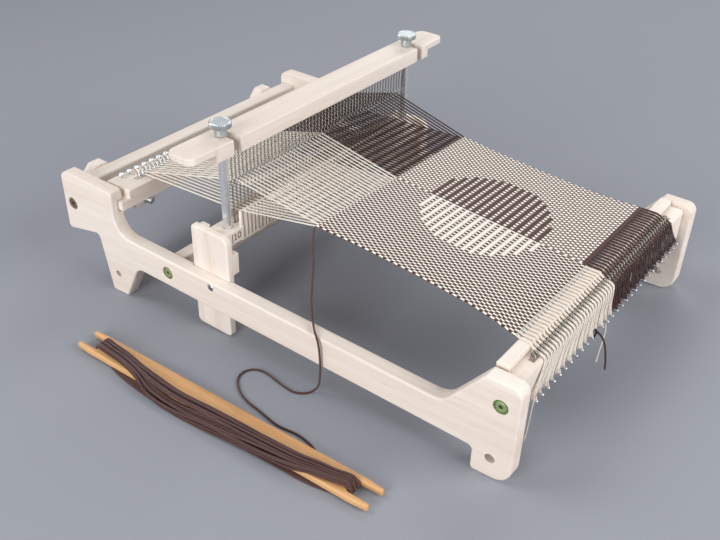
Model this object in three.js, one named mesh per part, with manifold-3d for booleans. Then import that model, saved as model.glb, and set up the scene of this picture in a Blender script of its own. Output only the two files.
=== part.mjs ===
// Sample loom: a small table loom with a rigid wire heddle, warp, cloth and stick shuttle.
// Millimetres, +Z up.  The loom stands on short front feet and longer back feet, so its
// rails climb towards the back.  Everything wooden is drawn square to the rails, in the
// group "loom", which is then tilted until the feet lie flat on the floor.

import * as THREE from 'three';
import { mergeVertices, toCreasedNormals } from 'three/addons/utils/BufferGeometryUtils.js';
import Module from 'manifold-3d';

const wasm = await Module();
wasm.setup();

// Driving dimensions
const BOARD = 10;                 // thickness of every wooden board
const INNER_WIDTH = 217;          // clear width between the side frames
const LENGTH = 359.7;             // length of a side frame
const FIT = 0.3;                  // clearance between pieces that touch
const ARC_STEPS = 3;              // straight pieces in a rounded corner

const RAIL_TOP = 20.5;            // height of the rail, measured from its lower edge
const HEAD_TOP = 52;              // height of the front and back heads
const FRONT_HEAD = 21.3;          // length of the front head's top
const FRONT_RAMP = 24.2;          // length of the ramp from the head down to the rail
const BACK_HEAD = 52;             // length of the back head
const FRONT_FOOT = 24.5;          // length of the front foot
const FRONT_FOOT_DROP = 14.85;    // floor below the rail at the very front
const FLOOR_SLOPE = 0.0463;       // how fast the floor falls away from the rail
const LEG_FRONT = 304.3;          // front and back of the back leg where it stands
const LEG_BACK = 319.4;

const END_PITCH = 10 / 3;         // spacing of the warp ends
const PIN_COUNT = 30;             // pins and pegs, one for two ends
const THREAD = 0.9;               // thickness of the yarn as drawn

const BEAM_FRONT = 5.5;           // front beam
const BEAM_DEPTH = 16;
const BEAM_BOTTOM = 26;
const BEAM_TOP = 49.5;
const STICK_Y = 18.3;
const STICK_WIDTH = 8;
const STICK_HEIGHT = 4;
const SPRING_RADIUS = 2.7;        // outside radius of both springs
const SPRING_WIRE = 0.9;
const SPRING_HALF = 90;           // half length of both springs
const SPRING_CURLS = 16;
const SPRING_GROOVE = 1;
const FRONT_SPRING_Y = 11;

const TENSION_FRONT = 303.5;      // sliding back beam
const TENSION_DEPTH = 22.5;
const TENSION_BOTTOM = 38.5;
const TENSION_TOP = 50;
const TONGUE = 5;                 // end tongues that run in the heads' grooves
const TONGUE_HEIGHT = 7;
const TONGUE_TRAVEL = 6;
const BACK_SPRING_Y = 313;
const PEG_Y = 321.4;
const PEG_HEAD = 1.9;
const PEG_RISE = 3.6;

const STRETCHER_FRONT = 344.5;    // fixed back stretcher
const STRETCHER_DEPTH = 12;
const STRETCHER_BOTTOM = 14;
const STRETCHER_TOP = 43;
const MID_Y = 258.5;              // middle stretcher
const MID_BOTTOM = 1.5;
const MID_TOP = 18.5;

const BOLT_X = 86.5;              // tension bolts and their knobs
const BOLT_Z = 33.5;
const BOLT_RADIUS = 2.5;
const BOLT_TIP = 304.5;
const KNOB_WIDTH = 22;
const KNOB_DEPTH = 8.7;
const LUG_WIDTH = 18;
const LUG_DEPTH = 15;

const HEDDLE_Y = 223.5;           // plane of the heddle's rods
const POST_FRONT = 209.5;
const POST_BACK = 240.5;
const POST_HEEL = POST_FRONT + 8.5; // where a post's leg starts below its rail
const POST_TOP = 51.5;
const POST_HOUSING = 2.5;         // how deep a post is let into its rail
const POST_CHEEK = 5.2;
const LEDGE = 38;                 // upper rest of the heddle
const NOTCH_TOP = 22.8;           // lower rest of the heddle
const NOTCH_BOTTOM = 12;
const BACKSTOP = 233;
const POST_FLOOR_GAP = 0.8;

const LOWER_BAR_DEPTH = 15.6;     // heddle
const LOWER_BAR_HEIGHT = 10.2;
const ROD_X = 95;
const ROD_RADIUS = 3;
const NECK_RADIUS = 2.5;
const UPPER_BAR_Z = 101.5;
const UPPER_BAR_HEIGHT = 10.2;
const UPPER_BAR_DEPTH = 21;
const UPPER_BAR_HALF = 109;
const TAB_HALF = 129.5;
const TAB_HEIGHT = 4.4;
const BAYONET = 3.5;              // sideways step of the slots in the upper bar
const NUT_RADIUS = 6.75;
const NUT_HEIGHT = 5.4;
const NUT_COLLAR = 3.75;
const NUT_COLLAR_HEIGHT = 4;
const HEDDLE_WIRES = 54;
const HEDDLE_WIRE = 0.7;
const EYE_Z = 78;
const EYE_HALF = 1.1;
const EYE_RISE = 3;
const COMB_THICKNESS = 2.4;
const COMB_FRONT_TOP = 59;
const COMB_BACK_TOP = 56;
const COMB_SLOT = 1.7;

const FELL_Y = 163;               // last woven row
const FELL_Z = 64.2;
const FELL_HALF = 80;
const CLOTH_FRONT = 26;
const CLOTH_Z = 54.6;
const CLOTH_HALF = 85;
const CLOTH_WAIST = 78;
const CLOTH_THICKNESS = 1.6;

const SHUTTLE_X = -169.5;         // the shuttle lies on the floor beside the loom
const SHUTTLE_FRONT = 49;
const SHUTTLE_LENGTH = 234;
const SHUTTLE_WIDTH = 19;
const SHUTTLE_THICKNESS = 4.2;
const FORK_DEPTH = 17;
const FORK_WIDTH = 10.4;
const WINDING_LOOPS = 5;
const WINDING_YARN = 0.9;
const YARN_RADIUS = 0.7;

const FRAME_INNER = INNER_WIDTH / 2;
const FRAME_OUTER = FRAME_INNER + BOARD;
const HEAD_FRONT = LENGTH - BACK_HEAD;
const BEAM_HALF = FRAME_INNER - FIT;
const UPPER_BAR_TOP = UPPER_BAR_Z + UPPER_BAR_HEIGHT;
const LOWER_BAR_Z = LEDGE + FIT;
const LOWER_BAR_TOP = LOWER_BAR_Z + LOWER_BAR_HEIGHT;
const LOWER_BAR_FRONT = HEDDLE_Y - 6.8;
const POST_OUTER = FRAME_INNER + POST_HOUSING - FIT;
const POST_INNER = POST_OUTER - BOARD;
const LOWER_BAR_HALF = POST_OUTER - POST_CHEEK - FIT;
const SPRING_DROP = SPRING_RADIUS - SPRING_GROOVE + FIT;
const floorUnder = (y) => -FRONT_FOOT_DROP - FLOOR_SLOPE * y;

// Materials
function finish(colour, roughness, metalness = 0) {
  return new THREE.MeshStandardMaterial({ color: colour, roughness, metalness });
}

const WOOD = finish(0xe6d6bd, 0.6);
const WARM_WOOD = finish(0xd9ab78, 0.55);
const ZINC = finish(0xb9bec2, 0.32, 1);
const DARK_STEEL = finish(0x55585b, 0.45, 1);
const GREEN = finish(0x78a546, 0.5);
const PURPLE = finish(0x6d4a52, 0.5);
const CREAM = finish(0xe9e2d3, 0.9);
const BROWN = finish(0x3b2622, 0.9);
const CLOTH = finish(0x9a8a7c, 0.95);

// Shapes and solids
function roundedShape(corners) {
  const path = [];
  corners.forEach(([u, v, radius = 0], index) => {
    const here = new THREE.Vector2(u, v);
    const last = corners[(index + corners.length - 1) % corners.length];
    const next = corners[(index + 1) % corners.length];
    const back = new THREE.Vector2(last[0] - u, last[1] - v).normalize();
    const ahead = new THREE.Vector2(next[0] - u, next[1] - v).normalize();
    if (radius === 0) {
      path.push(here);
      return;
    }
    const half = Math.acos(THREE.MathUtils.clamp(back.dot(ahead), -1, 1)) / 2;
    const reach = radius / Math.tan(half);
    const middle = back.clone().add(ahead).normalize().multiplyScalar(radius / Math.sin(half));
    const centre = here.clone().add(middle);
    const from = here.clone().addScaledVector(back, reach).sub(centre);
    const to = here.clone().addScaledVector(ahead, reach).sub(centre);
    let sweep = Math.atan2(to.y, to.x) - Math.atan2(from.y, from.x);
    sweep -= 2 * Math.PI * Math.round(sweep / (2 * Math.PI));
    for (let step = 0; step <= ARC_STEPS; step += 1) {
      const turned = from.clone().rotateAround(new THREE.Vector2(), (sweep * step) / ARC_STEPS);
      path.push(centre.clone().add(turned));
    }
  });
  return new THREE.Shape(path);
}

function extrude(shape, depth) {
  return new THREE.ExtrudeGeometry(shape, { depth, bevelEnabled: false });
}

// A shape drawn in (y, z) and run along X.
function alongX(corners, x0, x1) {
  const axes = new THREE.Matrix4().makeBasis(
    new THREE.Vector3(0, 1, 0), new THREE.Vector3(0, 0, 1), new THREE.Vector3(1, 0, 0));
  return extrude(roundedShape(corners), x1 - x0).applyMatrix4(axes).translate(x0, 0, 0);
}

// A shape drawn in (x, z) and run along Y.
function alongY(corners, y0, y1) {
  const axes = new THREE.Matrix4().makeBasis(
    new THREE.Vector3(1, 0, 0), new THREE.Vector3(0, 0, 1), new THREE.Vector3(0, -1, 0));
  return extrude(roundedShape(corners), y1 - y0).applyMatrix4(axes).translate(0, y1, 0);
}

// A shape drawn in (x, y) and run along Z.
function alongZ(corners, z0, z1) {
  return extrude(roundedShape(corners), z1 - z0).translate(0, 0, z0);
}

function rectangle(u0, u1, v0, v1, radius = 0) {
  return [[u0, v0, radius], [u1, v0, radius], [u1, v1, radius], [u0, v1, radius]];
}

function block(x0, x1, y0, y1, z0, z1) {
  const box = new THREE.BoxGeometry(x1 - x0, y1 - y0, z1 - z0);
  return box.translate((x0 + x1) / 2, (y0 + y1) / 2, (z0 + z1) / 2);
}

// A turned piece: pairs of radius and distance along its axis.
function turned(profile, axis, position, sides = 12) {
  const points = profile.map(([radius, along]) => new THREE.Vector2(radius, along));
  const solid = new THREE.LatheGeometry(points, sides);
  if (axis === 'x') solid.rotateZ(-Math.PI / 2);
  if (axis === '-x') solid.rotateZ(Math.PI / 2);
  if (axis === 'z') solid.rotateX(Math.PI / 2);
  return solid.translate(...position);
}

function cylinder(radius, from, to, axis, position, sides = 12) {
  return turned([[0, from], [radius, from], [radius, to], [0, to]], axis, position, sides);
}

function toManifold(geometry) {
  const plain = new THREE.BufferGeometry();
  plain.setAttribute('position', geometry.getAttribute('position').clone());
  if (geometry.index) plain.setIndex(geometry.index.clone());
  const welded = mergeVertices(plain, 1e-4);
  const mesh = new wasm.Mesh({
    numProp: 3,
    vertProperties: new Float32Array(welded.getAttribute('position').array),
    triVerts: new Uint32Array(welded.index.array),
  });
  mesh.merge();
  return new wasm.Manifold(mesh);
}

function toGeometry(manifold) {
  const mesh = manifold.getMesh();
  const geometry = new THREE.BufferGeometry();
  geometry.setAttribute('position', new THREE.BufferAttribute(mesh.vertProperties, 3));
  geometry.setIndex(new THREE.BufferAttribute(mesh.triVerts, 1));
  return toCreasedNormals(geometry, Math.PI / 6);
}

function cut(body, tools) {
  const holes = wasm.Manifold.union(tools.map(toManifold));
  return toGeometry(toManifold(body).subtract(holes));
}

function join(pieces) {
  return toGeometry(wasm.Manifold.union(pieces.map(toManifold)));
}

function mirrored(geometry) {
  return toGeometry(toManifold(geometry).mirror([1, 0, 0]));
}

const group = new THREE.Group();
group.name = 'sample_loom';
const loom = new THREE.Group();
loom.name = 'loom';
group.add(loom);

function add(parent, name, geometry, material) {
  const mesh = new THREE.Mesh(geometry, material.clone());
  mesh.name = name;
  parent.add(mesh);
  return mesh;
}

function addPair(parent, name, geometry, material) {
  add(parent, `${name}_near`, geometry, material);
  add(parent, `${name}_far`, mirrored(geometry), material);
}

function spread(count, pitch) {
  return Array.from({ length: count }, (_, index) => (index - (count - 1) / 2) * pitch);
}

// Tubes along a route
// A closed tube through the points, with its rings kept square to the route.
function tube(points, radius, sides) {
  const positions = [];
  const faces = [];
  let side = null;
  points.forEach((point, ring) => {
    const before = points[Math.max(ring - 1, 0)];
    const after = points[Math.min(ring + 1, points.length - 1)];
    const forward = after.clone().sub(before).normalize();
    if (side === null) {
      side = new THREE.Vector3(0, 0, 1);
      if (Math.abs(forward.z) > 0.9) side.set(0, 1, 0);
    }
    side.addScaledVector(forward, -side.dot(forward)).normalize();
    const other = forward.clone().cross(side);
    for (let step = 0; step < sides; step += 1) {
      const angle = (2 * Math.PI * step) / sides;
      const spot = point.clone()
        .addScaledVector(side, radius * Math.cos(angle))
        .addScaledVector(other, radius * Math.sin(angle));
      positions.push(spot.x, spot.y, spot.z);
    }
  });
  for (let ring = 0; ring < points.length - 1; ring += 1) {
    for (let step = 0; step < sides; step += 1) {
      const a = ring * sides + step;
      const b = ring * sides + ((step + 1) % sides);
      faces.push(a, b, b + sides, a, b + sides, a + sides);
    }
  }
  const last = (points.length - 1) * sides;
  for (let step = 1; step < sides - 1; step += 1) {
    faces.push(0, step + 1, step);
    faces.push(last, last + step, last + step + 1);
  }
  const geometry = new THREE.BufferGeometry();
  geometry.setAttribute('position', new THREE.Float32BufferAttribute(positions, 3));
  geometry.setIndex(faces);
  return toCreasedNormals(geometry, Math.PI / 3);
}

// Least clear distance between turns of one tube that are not neighbours along it.
function selfGap(points, radius, skip) {
  let least = Infinity;
  for (let i = 0; i < points.length; i += 1) {
    for (let j = i + skip; j < points.length; j += 1) {
      least = Math.min(least, points[i].distanceTo(points[j]));
    }
  }
  return least - 2 * radius;
}

// Side frames
const frameOutline = [
  [0, floorUnder(0), 11],
  [0, HEAD_TOP, 6],
  [FRONT_HEAD, HEAD_TOP, 2],
  [FRONT_HEAD + FRONT_RAMP, RAIL_TOP, 15],
  [HEAD_FRONT, RAIL_TOP, 14],
  [HEAD_FRONT, HEAD_TOP, 3],
  [LENGTH, HEAD_TOP, 6],
  [LENGTH, 6, 3],
  [LEG_BACK + 7.5, 13.3, 3],
  [LEG_BACK, floorUnder(LEG_BACK), 1.5],
  [LEG_FRONT, floorUnder(LEG_FRONT), 1.5],
  [LEG_FRONT - 15, 0, 10],
  [FRONT_FOOT, 0, 3],
  [FRONT_FOOT, floorUnder(FRONT_FOOT), 2.5],
];

// Fixings through a side frame: place, sleeve radius, shank radius, reach past its inner face.
const FRONT_FIXING = { y: 11.1, z: 36, sleeve: 4.2, shank: 1.8, reach: 16 };
const MID_FIXING = { y: MID_Y, z: 10.2, sleeve: 4.2, shank: 1.8, reach: 16 };
const BACK_FIXING = { y: 350.7, z: 28.6, sleeve: 4.2, shank: 1.8, reach: 14 };
const POST_FIXING = { y: 218.9, z: 16, sleeve: 0, shank: 1.3, reach: 1.6 };
const SLEEVED = [FRONT_FIXING, MID_FIXING, BACK_FIXING];
const SLEEVE_DEPTH = 5;
const BOLT_HEAD = 2.7;

function throughFrame(radius, y, z) {
  return cylinder(radius, -1, BOARD + 1, 'x', [-FRAME_OUTER, y, z]);
}

const sleeveSeats = SLEEVED.map(({ y, z, sleeve }) =>
  cylinder(sleeve + FIT, -1, SLEEVE_DEPTH + FIT, 'x', [-FRAME_OUTER, y, z]));
const shankHoles = [...SLEEVED, POST_FIXING].map(({ y, z, shank }) =>
  throughFrame(shank + FIT, y, z));
const postHead = cylinder(2.3 + FIT, -1, 2.5 + FIT, 'x', [-FRAME_OUTER, POST_FIXING.y, POST_FIXING.z]);
const spareHoles = [throughFrame(2.5, 311.3, -13.6), throughFrame(3, 13.2, -2.1)];
const housing = block(
  -FRAME_INNER - POST_HOUSING, -FRAME_INNER + 1, POST_FRONT - FIT, POST_BACK + 0.8 + FIT, -1,
  RAIL_TOP + 1);
const tongueGroove = block(
  -FRAME_INNER - TONGUE, -FRAME_INNER + 1, HEAD_FRONT - 1,
  TENSION_FRONT + TENSION_DEPTH + TONGUE_TRAVEL, TENSION_BOTTOM - FIT - 0.3,
  TENSION_BOTTOM + TONGUE_HEIGHT + FIT);
const sideFrame = cut(
  alongX(frameOutline, -FRAME_OUTER, -FRAME_INNER),
  [...sleeveSeats, ...shankHoles, postHead, ...spareHoles, housing, tongueGroove]);
addPair(loom, 'side_frame', sideFrame, WOOD);

// Fixings
function socketBolt({ y, z, shank, reach }) {
  const length = BOARD + reach;
  const solid = turned([
    [0, FIT], [BOLT_HEAD - 0.4, FIT], [BOLT_HEAD, FIT + 0.4], [BOLT_HEAD, SLEEVE_DEPTH],
    [shank, SLEEVE_DEPTH], [shank, length], [0, length],
  ], 'x', [-FRAME_OUTER, y, z]);
  return cut(solid, [cylinder(1.6, -1, 2.8, 'x', [-FRAME_OUTER, y, z], 6)]);
}

function sleeve({ y, z, sleeve: radius }) {
  const inner = BOLT_HEAD + FIT;
  const ring = cylinder(radius, 0, SLEEVE_DEPTH, 'x', [-FRAME_OUTER, y, z]);
  return cut(ring, [cylinder(inner, -1, SLEEVE_DEPTH + 1, 'x', [-FRAME_OUTER, y, z])]);
}

addPair(loom, 'front_bolt', socketBolt(FRONT_FIXING), DARK_STEEL);
addPair(loom, 'mid_bolt', socketBolt(MID_FIXING), DARK_STEEL);
addPair(loom, 'back_bolt', socketBolt(BACK_FIXING), DARK_STEEL);
addPair(loom, 'front_sleeve', sleeve(FRONT_FIXING), GREEN);
addPair(loom, 'mid_sleeve', sleeve(MID_FIXING), GREEN);
addPair(loom, 'back_sleeve', sleeve(BACK_FIXING), PURPLE);
addPair(loom, 'post_screw', turned([
  [0, FIT], [2.3, FIT], [2.3, 2.4], [POST_FIXING.shank, 2.5],
  [POST_FIXING.shank, BOARD + POST_FIXING.reach], [0, BOARD + POST_FIXING.reach],
], 'x', [-FRAME_OUTER, POST_FIXING.y, POST_FIXING.z]), ZINC);

function endHoles({ y, z, shank, reach }) {
  return [-1, 1].map((side) => cylinder(
    shank + FIT, -1, reach + FIT, side < 0 ? 'x' : '-x', [side * FRAME_INNER, y, z]));
}

// Front beam
const beamBack = BEAM_FRONT + BEAM_DEPTH;
const PIN_Z = 30;
const frontBeam = cut(
  alongX([[BEAM_FRONT, BEAM_BOTTOM, 1], [BEAM_FRONT, BEAM_TOP, 2.5], [beamBack, BEAM_TOP, 1],
    [beamBack, BEAM_BOTTOM, 1]], -BEAM_HALF, BEAM_HALF),
  [
    ...endHoles(FRONT_FIXING),
    block(-SPRING_HALF - 2, SPRING_HALF + 2, FRONT_SPRING_Y - 2, FRONT_SPRING_Y + 2,
      BEAM_TOP - SPRING_GROOVE, BEAM_TOP + 1),
    block(-98, 98, BEAM_FRONT - 1, BEAM_FRONT + 2, PIN_Z - 1.5 - FIT, PIN_Z + 1.5 + FIT),
  ]);
add(loom, 'front_beam', frontBeam, WOOD);

const pinXs = spread(PIN_COUNT, 2 * END_PITCH);
const pinStrip = block(-97.7, 97.7, BEAM_FRONT, BEAM_FRONT + 2 - FIT, PIN_Z - 1.5, PIN_Z + 1.5);
const pins = pinXs.map((x) => turned(
  [[0, 0], [1.1, 0.3], [0.9, 6.5], [0, 6.5]], 'y', [x, 0, PIN_Z], 4));
add(loom, 'front_pins', join([pinStrip, ...pins]), ZINC);

const stickBottom = BEAM_TOP + FIT;
add(loom, 'front_stick', alongX(
  rectangle(STICK_Y - STICK_WIDTH / 2, STICK_Y + STICK_WIDTH / 2, stickBottom,
    stickBottom + STICK_HEIGHT, 1.6), -BEAM_HALF + 1, BEAM_HALF - 1), WOOD);

function springPoints(y, z) {
  const reach = SPRING_RADIUS - SPRING_WIRE / 2;
  const steps = SPRING_CURLS * 8;
  const points = [new THREE.Vector3(-SPRING_HALF - SPRING_WIRE, y - reach, z)];
  for (let step = 0; step <= steps; step += 1) {
    const angle = (2 * Math.PI * step) / 8;
    const x = -SPRING_HALF + (2 * SPRING_HALF * step) / steps;
    points.push(new THREE.Vector3(x, y - reach * Math.cos(angle), z + reach * Math.sin(angle)));
  }
  points.push(new THREE.Vector3(SPRING_HALF + SPRING_WIRE, y - reach, z));
  return points;
}

const frontSpring = springPoints(FRONT_SPRING_Y, BEAM_TOP + SPRING_DROP);
add(loom, 'front_spring', tube(frontSpring, SPRING_WIRE / 2, 5), ZINC);

// Stretchers
const stretcherBack = STRETCHER_FRONT + STRETCHER_DEPTH;
const stretcherBolts = [-BOLT_X, BOLT_X].map((x) => cylinder(
  BOLT_RADIUS + FIT, STRETCHER_FRONT - 1, stretcherBack + 1, 'y', [x, 0, BOLT_Z]));
add(loom, 'back_stretcher', cut(
  alongX(rectangle(STRETCHER_FRONT, stretcherBack, STRETCHER_BOTTOM, STRETCHER_TOP, 1.5),
    -BEAM_HALF, BEAM_HALF),
  [...endHoles(BACK_FIXING), ...stretcherBolts]), WOOD);
add(loom, 'mid_stretcher', cut(
  alongX(rectangle(MID_Y - BOARD / 2, MID_Y + BOARD / 2, MID_BOTTOM, MID_TOP, 1.5),
    -BEAM_HALF, BEAM_HALF),
  endHoles(MID_FIXING)), WOOD);

// Heddle posts
const postFloor = floorUnder(POST_BACK + 0.8) + POST_FLOOR_GAP + 0.8;
const cheek = alongX([
  [POST_FRONT, 3, 1.5], [POST_FRONT, POST_TOP, 6], [POST_BACK, POST_TOP, 2],
  [POST_BACK + 0.8, postFloor, 4], [POST_HEEL, postFloor, 4], [POST_HEEL, 3, 2],
], -POST_OUTER, -POST_OUTER + POST_CHEEK);
const rests = alongX([
  [POST_FRONT, NOTCH_TOP, 1], [POST_FRONT, LEDGE, 1], [BACKSTOP, LEDGE], [BACKSTOP, POST_TOP - 2, 1],
  [POST_BACK, POST_TOP - 2, 2], [POST_BACK + 0.8, postFloor, 4], [POST_HEEL, postFloor, 4],
  [POST_HEEL, 3, 2], [POST_FRONT, 3, 1.5], [POST_FRONT, NOTCH_BOTTOM, 1], [BACKSTOP, NOTCH_BOTTOM],
  [BACKSTOP, NOTCH_TOP],
], -POST_OUTER + POST_CHEEK - 1, -POST_INNER);
const postHole = cylinder(
  POST_FIXING.shank + FIT, 0, POST_FIXING.reach + FIT + 1, 'x',
  [-FRAME_INNER - 1, POST_FIXING.y, POST_FIXING.z]);
const post = cut(join([cheek, rests]), [
  postHole,
  cylinder(POST_FIXING.shank + FIT, 0, POST_HOUSING + POST_FIXING.reach + FIT, 'x',
    [-FRAME_INNER - POST_HOUSING, POST_FIXING.y, POST_FIXING.z]),
]);
addPair(loom, 'post', post, WOOD);

// Sliding back beam
const tensionBack = TENSION_FRONT + TENSION_DEPTH;
const tensionBeam = cut(
  join([
    alongX(rectangle(TENSION_FRONT, tensionBack, TENSION_BOTTOM, TENSION_TOP, 1.5),
      -BEAM_HALF + 0.5, BEAM_HALF - 0.5),
    block(-FRAME_INNER - TONGUE + 0.6, FRAME_INNER + TONGUE - 0.6, TENSION_FRONT + 5,
      tensionBack - FIT, TENSION_BOTTOM + FIT, TENSION_BOTTOM + TONGUE_HEIGHT),
  ]),
  [
    block(-SPRING_HALF - 2, SPRING_HALF + 2, BACK_SPRING_Y - 2, BACK_SPRING_Y + 2,
      TENSION_TOP - SPRING_GROOVE, TENSION_TOP + 1),
    block(-98.5, 98.5, PEG_Y - 1 - FIT, PEG_Y + 1 + FIT, TENSION_TOP - 2, TENSION_TOP + 1),
  ]);
add(loom, 'tension_beam', tensionBeam, WOOD);

const pegStrip = block(-98, 98, PEG_Y - 1, PEG_Y + 1, TENSION_TOP - 2 + FIT, TENSION_TOP);
const pegs = pinXs.map((x) => turned([
  [0, -1], [0.8, -1], [PEG_HEAD, PEG_RISE - 1], [0, PEG_RISE + 0.3],
], 'z', [x, PEG_Y, TENSION_TOP], 5));
add(loom, 'back_pegs', join([pegStrip, ...pegs]), ZINC);
const backSpring = springPoints(BACK_SPRING_Y, TENSION_TOP + SPRING_DROP);
add(loom, 'back_spring', tube(backSpring, SPRING_WIRE / 2, 5), ZINC);

const lugTop = TENSION_BOTTOM - FIT;
const lugFront = TENSION_FRONT + 3;
const lug = cut(
  alongX(rectangle(lugFront, lugFront + LUG_DEPTH, 2 * BOLT_Z - lugTop, lugTop, 1),
    -BOLT_X - LUG_WIDTH / 2, -BOLT_X + LUG_WIDTH / 2),
  [cylinder(BOLT_RADIUS + FIT, lugFront - 1, lugFront + LUG_DEPTH + 1, 'y', [-BOLT_X, 0, BOLT_Z])]);
addPair(loom, 'tension_lug', lug, WOOD);

// Tension bolts and knobs
const knobFront = stretcherBack + FIT;
const knobBack = knobFront + KNOB_DEPTH;
const bolt = turned([
  [0, BOLT_TIP], [BOLT_RADIUS - 0.6, BOLT_TIP], [BOLT_RADIUS, BOLT_TIP + 0.6],
  [BOLT_RADIUS, knobBack - 3], [0, knobBack - 3],
], 'y', [-BOLT_X, 0, BOLT_Z]);
addPair(loom, 'tension_bolt', bolt, DARK_STEEL);
const corner = KNOB_WIDTH / 2 * Math.tan(Math.PI / 8);
const flat = KNOB_WIDTH / 2;
const octagon = [[-corner, flat], [-flat, corner], [-flat, -corner], [-corner, -flat],
  [corner, -flat], [flat, -corner], [flat, corner], [corner, flat]]
  .map(([u, v]) => [u - BOLT_X, v + BOLT_Z, 1.5]);
const knob = cut(alongY(octagon, knobFront, knobBack), [
  cylinder(BOLT_RADIUS + FIT, knobFront - 1, knobBack - 3 + FIT, 'y', [-BOLT_X, 0, BOLT_Z]),
]);
addPair(loom, 'tension_knob', knob, WOOD);

// Heddle frame
// Raised ends run through the wires' eyes and lowered ends between the wires.  Every second
// end of each layer is drawn.
const wireXs = spread(HEDDLE_WIRES, END_PITCH);
const slotXs = spread(HEDDLE_WIRES - 1, END_PITCH);
const raised = wireXs.filter((_, index) => index % 2 === 1);
const lowered = slotXs.filter((_, index) => index % 2 === 1);
const carrierHalf = wireXs[HEDDLE_WIRES - 1] + 1;
const CARRIER = 1.4;
const lowerBack = LOWER_BAR_FRONT + LOWER_BAR_DEPTH;
const combHalf = carrierHalf + 1.4;
const lowerRodHoles = [-ROD_X, ROD_X].map((x) => cylinder(
  ROD_RADIUS + FIT, LOWER_BAR_Z + 2, LOWER_BAR_TOP + 1, 'z', [x, HEDDLE_Y, 0]));
const wireGroove = block(-carrierHalf - FIT, carrierHalf + FIT, HEDDLE_Y - HEDDLE_WIRE / 2 - FIT,
  HEDDLE_Y + HEDDLE_WIRE / 2 + FIT, LOWER_BAR_TOP - 3, LOWER_BAR_TOP + 1);
const lowerBar = cut(
  alongX(rectangle(LOWER_BAR_FRONT, lowerBack, LOWER_BAR_Z, LOWER_BAR_TOP, 1),
    -LOWER_BAR_HALF, LOWER_BAR_HALF),
  [
    ...lowerRodHoles,
    wireGroove,
    block(-combHalf - FIT, combHalf + FIT, LOWER_BAR_FRONT - 1,
      LOWER_BAR_FRONT + COMB_THICKNESS + FIT, LOWER_BAR_Z - 1, LOWER_BAR_TOP + 1),
    block(-combHalf - FIT, combHalf + FIT, lowerBack - COMB_THICKNESS - FIT, lowerBack + 1,
      LOWER_BAR_Z - 1, LOWER_BAR_TOP + 1),
  ]);
add(loom, 'heddle_lower_bar', lowerBar, WOOD);

// A slatted plate, its slots open at the top.
function comb(top, y0, y1) {
  const corners = [[-combHalf, LOWER_BAR_Z], [combHalf, LOWER_BAR_Z], [combHalf, top]];
  [...slotXs].reverse().forEach((x) => {
    corners.push([x + COMB_SLOT / 2, top], [x + COMB_SLOT / 2, LOWER_BAR_Z + 3]);
    corners.push([x - COMB_SLOT / 2, LOWER_BAR_Z + 3], [x - COMB_SLOT / 2, top]);
  });
  corners.push([-combHalf, top]);
  return alongY(corners, y0, y1);
}

add(loom, 'comb_front', comb(
  COMB_FRONT_TOP, LOWER_BAR_FRONT, LOWER_BAR_FRONT + COMB_THICKNESS), WOOD);
add(loom, 'comb_back', comb(COMB_BACK_TOP, lowerBack - COMB_THICKNESS, lowerBack), WOOD);

const nutTop = UPPER_BAR_TOP + FIT + NUT_COLLAR_HEIGHT + NUT_HEIGHT;
addPair(loom, 'heddle_rod', turned([
  [0, LOWER_BAR_Z + 2 + FIT], [ROD_RADIUS, LOWER_BAR_Z + 2 + FIT],
  [ROD_RADIUS, UPPER_BAR_Z - FIT], [NECK_RADIUS, UPPER_BAR_Z - FIT],
  [NECK_RADIUS, nutTop - 2.5], [0, nutTop - 2.5],
], 'z', [-ROD_X, HEDDLE_Y, 0]), ZINC);

const barFront = HEDDLE_Y - UPPER_BAR_DEPTH / 2 + 0.5;
const barBack = barFront + UPPER_BAR_DEPTH;
const neck = NECK_RADIUS + FIT + 0.3;
const bayonets = [-ROD_X, ROD_X].map((x) => alongZ([
  [x - neck, HEDDLE_Y - neck, neck * 0.9], [x + BAYONET - neck, HEDDLE_Y - neck],
  [x + BAYONET - neck, barFront - 1], [x + BAYONET + neck, barFront - 1],
  [x + BAYONET + neck, HEDDLE_Y + neck, neck * 0.9], [x - neck, HEDDLE_Y + neck, neck * 0.9],
], UPPER_BAR_Z - 1, UPPER_BAR_TOP + 1));
const upperGroove = block(
  -ROD_X, ROD_X, HEDDLE_Y - HEDDLE_WIRE / 2 - FIT, HEDDLE_Y + HEDDLE_WIRE / 2 + FIT,
  UPPER_BAR_Z - 1, UPPER_BAR_Z + 3);
const upperBar = cut(
  join([
    alongZ(rectangle(-UPPER_BAR_HALF, UPPER_BAR_HALF, barFront, barBack), UPPER_BAR_Z,
      UPPER_BAR_TOP),
    alongZ(rectangle(-TAB_HALF, TAB_HALF, barFront, barBack, 3), UPPER_BAR_TOP - TAB_HEIGHT,
      UPPER_BAR_TOP),
  ]),
  [...bayonets, upperGroove]);
add(loom, 'heddle_upper_bar', upperBar, WOOD);

function thumbNut() {
  const teeth = 20;
  const edge = Array.from({ length: 2 * teeth }, (_, index) => {
    const radius = NUT_RADIUS - (index % 2 ? 0.5 : 0);
    const angle = (Math.PI * index) / teeth;
    return [radius * Math.cos(angle), radius * Math.sin(angle)];
  });
  const base = UPPER_BAR_TOP + FIT;
  const head = alongZ(edge, base + NUT_COLLAR_HEIGHT, nutTop);
  const collar = cylinder(NUT_COLLAR, base, base + NUT_COLLAR_HEIGHT + 1, 'z', [0, 0, 0]);
  const bore = cylinder(NECK_RADIUS + FIT, base - 1, nutTop - 2.5 + FIT, 'z', [0, 0, 0]);
  return cut(join([head, collar]), [bore]).translate(-ROD_X, HEDDLE_Y, 0);
}

addPair(loom, 'thumb_nut', thumbNut(), ZINC);

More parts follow.
